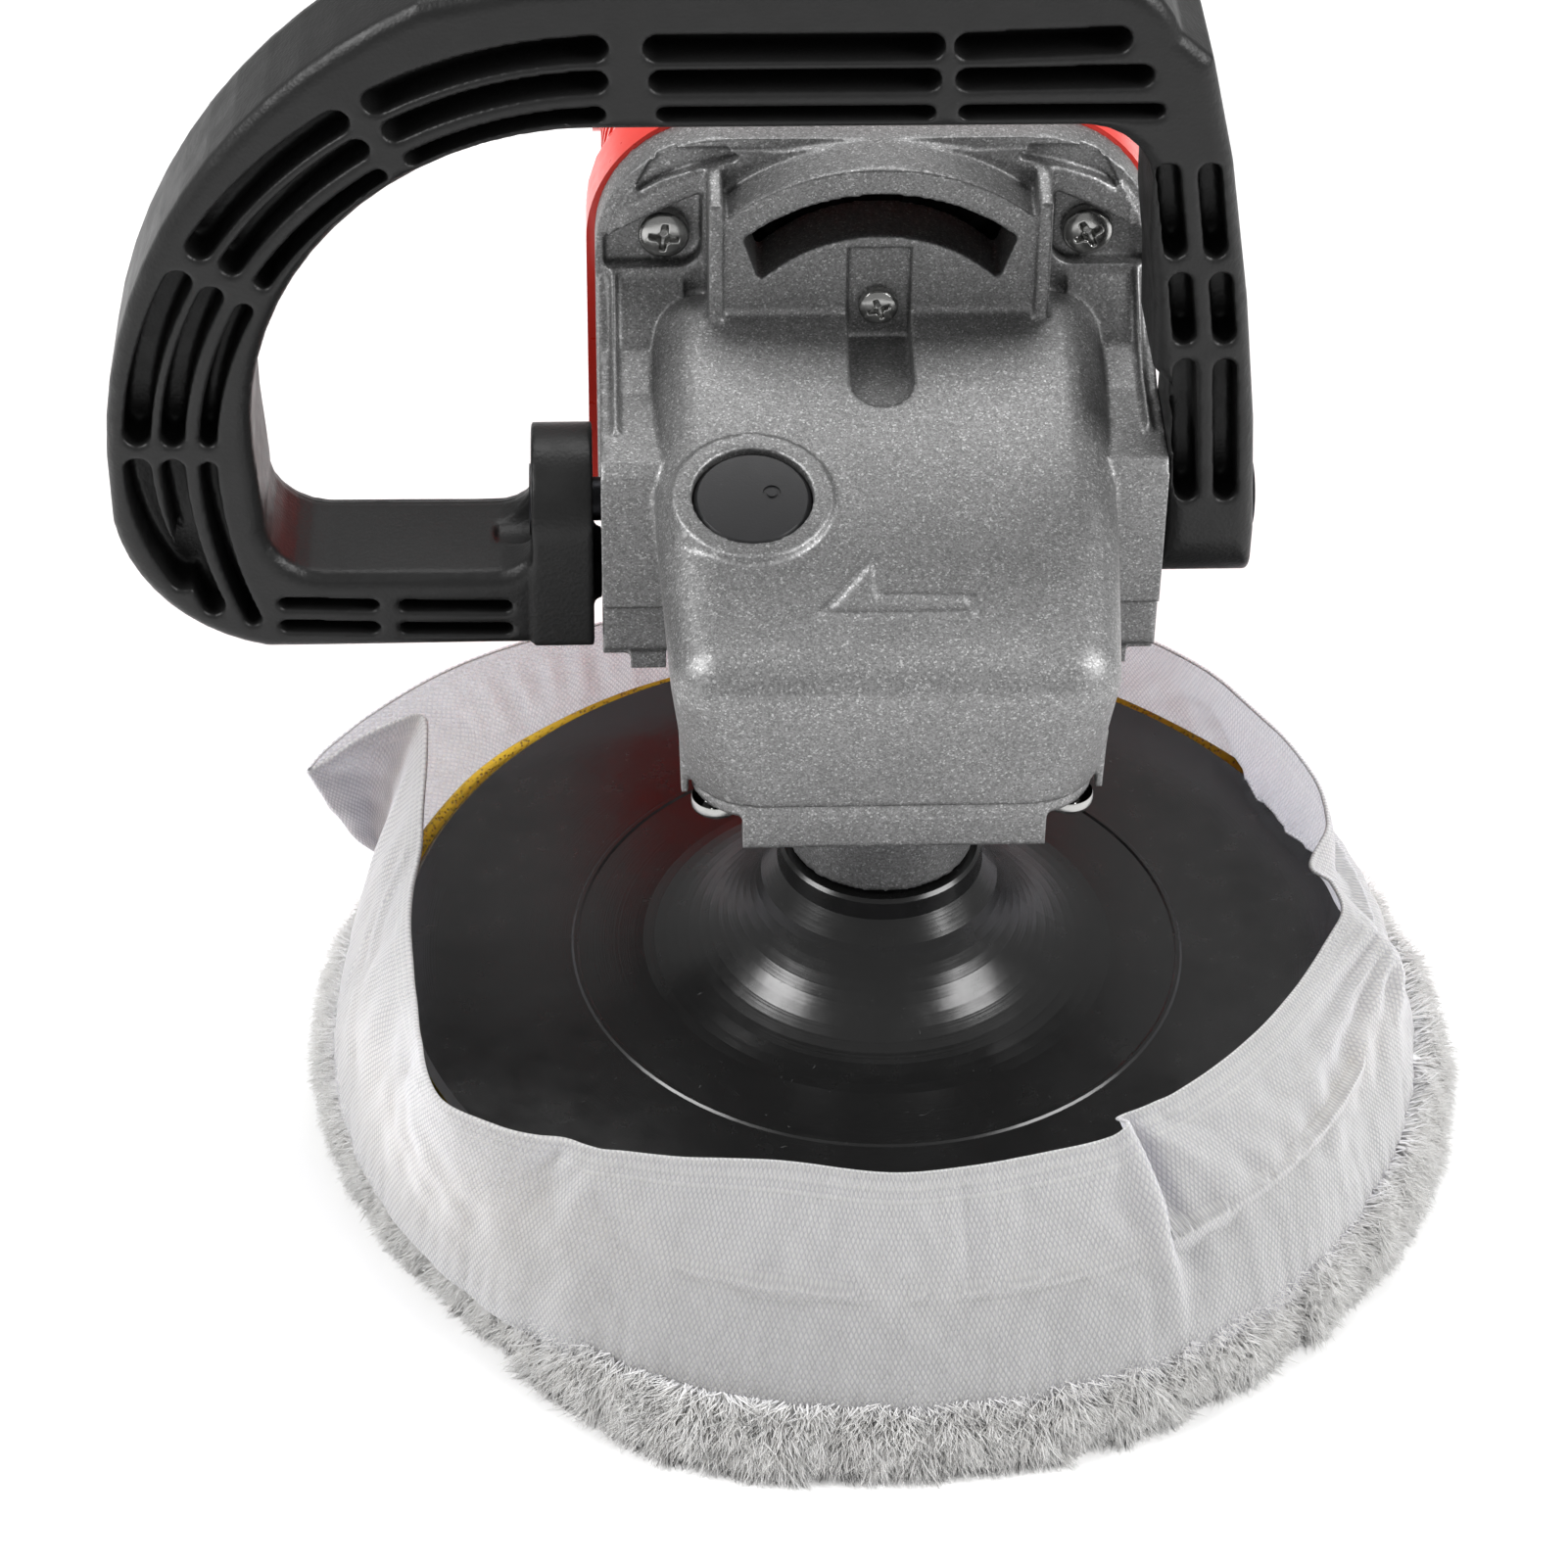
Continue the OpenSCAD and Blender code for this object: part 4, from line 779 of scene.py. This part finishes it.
# The skirt's upper edge: seam azimuth in degrees, then the edge's own azimuth, radius and height in mm.
SKIRT_EDGE = [
    (-163, -161, 90.5, 48), (-153, -151, 96, 48), (-146, -144, 99.6, 47.5), (-140, -138.5, 97.5, 47.5),
    (-132, -131, 92.5, 47.5), (-118, -118, 85, 48), (-106, -106, 79.5, 48), (-92, -92, 80, 48),
    (-82, -82, 79.5, 48), (-72, -71.5, 80, 48.5), (-65, -63.5, 81.5, 49), (-61.5, -61.2, 80, 49.5),
    (-59.5, -60.2, 77, 48), (-56, -57.5, 77.2, 48), (-50, -51, 78, 48), (-37, -37, 79, 48),
    (-23, -23.5, 81, 48), (-10, -9.5, 85, 48), (-3, -2.5, 84.5, 48), (1, 0.5, 81.5, 47.5),
    (5, 3, 82, 47.5), (11, 9, 87.5, 48), (20, 19, 90.5, 48), (38, 38, 92, 48), (52, 52, 92.7, 48),
    (70, 70, 91.5, 48), (90, 90, 91, 48), (108, 109, 92, 48), (119, 121.5, 95, 48), (126, 131, 99, 48),
    (133, 141, 104.5, 47.5), (139, 150, 109.5, 46.5), (144, 157, 113.5, 45), (147, 160, 114.6, 43.5),
    (150, 158.8, 112, 44.5), (154, 155, 107.5, 46.5), (158, 151.5, 102.5, 48), (162, 150.2, 98.8, 48.8),
    (166, 155, 94, 48.5), (171, 163.5, 89, 48), (177, 173, 86, 48), (188, 186, 87.5, 48),
]
# Dents and ridges: azimuth, share of the height, half width in degrees, half height, depth in mm,
# lean in degrees.
SKIRT_MARKS = [
    (-131, 0.86, 2.2, 0.16, -2.6, 4), (-126.5, 0.80, 1.7, 0.20, 1.7, 5), (-137, 0.80, 2.5, 0.2, 0.9, 3),
    (-114, 0.7, 3.0, 0.22, -0.8, 6), (-99, 0.85, 1.4, 0.14, 0.6, 2), (-83, 0.78, 0.9, 0.2, -0.8, 1),
    (-80.5, 0.76, 0.9, 0.2, 0.6, 1), (-76, 0.8, 1.2, 0.16, -0.5, 3), (-57.6, 0.80, 1.3, 0.28, -2.2, 0),
    (-61.8, 0.72, 1.5, 0.36, 2.4, -1), (-65.5, 0.7, 2.0, 0.3, -0.9, -3),
    (-51, 0.62, 1.8, 0.18, 0.9, -12), (-47, 0.72, 1.7, 0.16, -0.8, -12),
    (-43, 0.55, 2.0, 0.2, 0.7, -14), (-37, 0.7, 2.2, 0.18, -0.7, -10), (-9, 0.74, 4.0, 0.22, 4.2, 0),
    (2, 0.72, 2.6, 0.2, -1.6, 3), (24, 0.71, 14.5, 0.17, -12.0, 0), (172, 0.72, 2.5, 0.2, 0.9, 6),
    (-176, 0.62, 2.5, 0.25, -0.9, 6), (-165, 0.7, 2.0, 0.22, 0.8, 5), (-155, 0.75, 1.6, 0.2, -1.0, 4),
]
# Long creases: azimuth and share of the height at each end, depth in mm, half width in mm.
SKIRT_CREASES = [
    (-9, 0.88, -27, 0.97, 0.9, 1.3), (-10, 0.84, -38, 0.84, -1.0, 1.4),
    (-10, 0.82, -44, 0.70, 1.1, 1.5), (-11, 0.78, -46, 0.52, -0.9, 1.6),
    (-11, 0.74, -40, 0.40, 1.0, 1.6), (-11, 0.68, -30, 0.26, -0.8, 1.6),
    (-10, 0.62, -20, 0.20, 0.8, 1.5), (-8, 0.9, -4, 0.35, -1.1, 1.4), (-55, 0.9, -44, 0.45, 0.8, 1.5),
    (-53, 0.95, -38, 0.62, -0.6, 1.3), (-66, 0.9, -76, 0.45, 0.7, 1.6),
    (-129, 0.92, -138, 0.5, 0.9, 1.6), (-124, 0.85, -112, 0.45, 0.6, 1.8),
    (-150, 0.92, -160, 0.45, 0.6, 1.6), (176, 0.9, -170, 0.35, 0.7, 1.7),
    (165, 0.8, 172, 0.3, 0.8, 1.8), (-100, 0.9, -94, 0.5, -0.5, 1.6), (-88, 0.85, -84, 0.45, 0.5, 1.4),
]
SEAM_R = 102.3               # radius and height of the seam with the wool, in mm
SEAM_Z = 9.5
MM_PER_DEGREE = 1.6          # length of a degree of azimuth half-way up the skirt
SKIRT_HEIGHT = 47.0          # length of the fabric from seam to edge
SKIRT_CLEARANCE = 94.4       # least radius of the skirt beside the plate and foam, in mm
FLAP_AZIMUTH = 148.5         # middle of the flap that stands away from the wall, in degrees
FABRIC_THICKNESS = 0.35      # in mm
HEM_GAP = 0.75               # width of the hem's roll, in mm


def edge_curve(turns):
    """The skirt's upper edge in millimetres at the given seam azimuths, as x, y, z."""
    rows = []
    for seam, azimuth, radius, height in SKIRT_EDGE:
        angle = math.radians(azimuth)
        rows.append(((seam + 180) % 360 - 180, radius * math.cos(angle), radius * math.sin(angle), height))
    rows.sort()
    return np.stack([periodic([(row[0], row[k]) for row in rows], turns) for k in (1, 2, 3)], axis=1)


def surface_normals(points):
    """Unit normals of a closed grid of points."""
    along = np.roll(points, -1, 0) - np.roll(points, 1, 0)
    up = np.gradient(points, axis=1)
    normal = np.cross(along, up)
    return normal / np.maximum(np.linalg.norm(normal, axis=2), 1e-9)[:, :, None]


def skirt_wall(turns, share):
    """The skirt without its folds, as points[turn][share], in mm, and the generator for its waves."""
    rng = np.random.default_rng(23)
    radians = np.radians(turns)
    edge = edge_curve(turns)
    seam_r = SEAM_R + waves(rng, radians, 0, 30, 90, 6, 0.35)
    seam = np.stack([seam_r * np.cos(radians), seam_r * np.sin(radians)], axis=1)
    climb = share ** 0.92
    off_flap = turns - FLAP_AZIMUTH
    flap = np.exp(-(off_flap / np.where(off_flap > 0, 10, 9)) ** 2)
    wall = np.zeros((len(turns), len(share), 3))
    for j in range(len(share)):
        lean = (share[j] ** (1.7 - 1.2 * flap))[:, None]
        wall[:, j, :2] = seam * (1 - lean) + edge[:, :2] * lean
        wall[:, j, 2] = SEAM_Z + (edge[:, 2] - SEAM_Z) * climb[j]
    return wall, rng


def skirt_folds(rng, turns, share):
    """How far each point of the skirt stands off its plain wall, in mm."""
    radians = np.radians(turns)[:, None]
    grid_t, grid_v = turns[:, None], share[None, :]
    shift = waves(rng, radians, grid_v, 24, 70, 9, 0.4, 0.25) * np.sin(math.pi * grid_v ** 1.2) ** 1.2
    shift += waves(rng, radians, grid_v, 12, 36, 7, 0.22) * grid_v ** 3
    shift += waves(rng, radians, grid_v, 8, 20, 5, 0.9, 0.1) * np.sin(math.pi * grid_v) * 0.8
    shift += waves(rng, radians, grid_v, 90, 170, 8, 0.22, 0.05) * (1 - grid_v) ** 3
    for azimuth, height, wide, tall, depth, tilt in SKIRT_MARKS:
        off = (grid_t - azimuth - tilt * (grid_v - height) + 180) % 360 - 180
        shift += depth * np.exp(-(off / wide) ** 2 - ((grid_v - height) / tall) ** 2)
    for azimuth_a, height_a, azimuth_b, height_b, depth, wide in SKIRT_CREASES:
        span = ((azimuth_b - azimuth_a + 180) % 360 - 180) * MM_PER_DEGREE
        rise = (height_b - height_a) * SKIRT_HEIGHT
        x = ((grid_t - azimuth_a + 180) % 360 - 180) * MM_PER_DEGREE
        y = (grid_v - height_a) * SKIRT_HEIGHT
        along = np.clip((x * span + y * rise) / (span ** 2 + rise ** 2), 0, 1)
        apart = np.hypot(x - along * span, y - along * rise)
        shift += depth * (1 - along) ** 0.7 * np.exp(-(apart / (wide * (1 + along))) ** 2)
    rear = np.exp(-(((grid_t - 128) / 16) ** 2)) * np.exp(-(((grid_v - 0.62) / 0.2) ** 2))
    shift += rear * 0.5 * np.cos(np.radians(grid_t) * 115)
    return shift * np.clip(grid_v * 12, 0, 1)


def rolled_hem(wall):
    """Rows of points that roll the skirt's edge over, towards its inside."""
    edge, normal = wall[:, -1], surface_normals(wall)[:, -1]
    up = np.array([0, 0, 1.0])
    rows = []
    for degrees in (35, 75, 110, 145):
        angle = math.radians(degrees)
        inward = HEM_GAP * (1 - math.cos(angle)) / 2
        rows.append(edge - normal * inward + up * HEM_GAP * 0.5 * math.sin(angle))
    return np.stack(rows, axis=1)


def make_skirt():
    """The bonnet's gathered skirt: from its seam on the wool, up and in over the plate."""
    count, rows = 900, 40
    turns = np.linspace(-180, 180, count, endpoint=False)
    share = np.linspace(0, 1, rows)
    wall, rng = skirt_wall(turns, share)
    wall += surface_normals(wall) * skirt_folds(rng, turns, share)[:, :, None]
    reach = np.hypot(wall[:, :, 0], wall[:, :, 1])
    least = np.interp(wall[:, :, 2], [33.2, 36.5], [SKIRT_CLEARANCE, 70])
    wall[:, :, :2] *= (np.maximum(reach, least) / reach)[:, :, None]
    points = np.concatenate([wall, rolled_hem(wall)], axis=1) * MM
    steps = np.linalg.norm(np.diff(points, axis=1), axis=2).mean(0)
    flat_v = np.concatenate([[0], np.cumsum(steps)])
    girth = 2 * math.pi * SEAM_R * MM
    from_edge = flat_v - flat_v[rows + 1]
    flat_u = np.repeat((turns + 180)[:, None] / 360 * girth, points.shape[1], axis=1)
    mesh = grid_mesh("skirt", points, uv=(flat_u, np.repeat(from_edge[None], count, axis=0)))
    temp = bpy.data.objects.new("skirt_work", mesh)
    bpy.context.scene.collection.objects.link(temp)
    solid = temp.modifiers.new("thickness", "SOLIDIFY")
    solid.thickness = FABRIC_THICKNESS * MM
    solid.offset = 0
    result = evaluated(temp)
    bpy.data.objects.remove(temp)
    skirt = new_piece("skirt", result, SPINDLE, "white_mesh")
    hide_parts("bonnet_skirt")


def paint_frame():
    """Gives every CAD node that stays in view its slot's finish."""
    for name, obj in NODES.items():
        obj.data.materials.clear()
        obj.data.materials.append(PAINTS[SLOT_OF[name]])


add_camera()
add_studio()
paint_frame()
for node, (voxel, rounds) in SOFTENED.items():
    soften(node, voxel, rounds)
make_screws()
make_foam()
make_wool()
make_skirt()
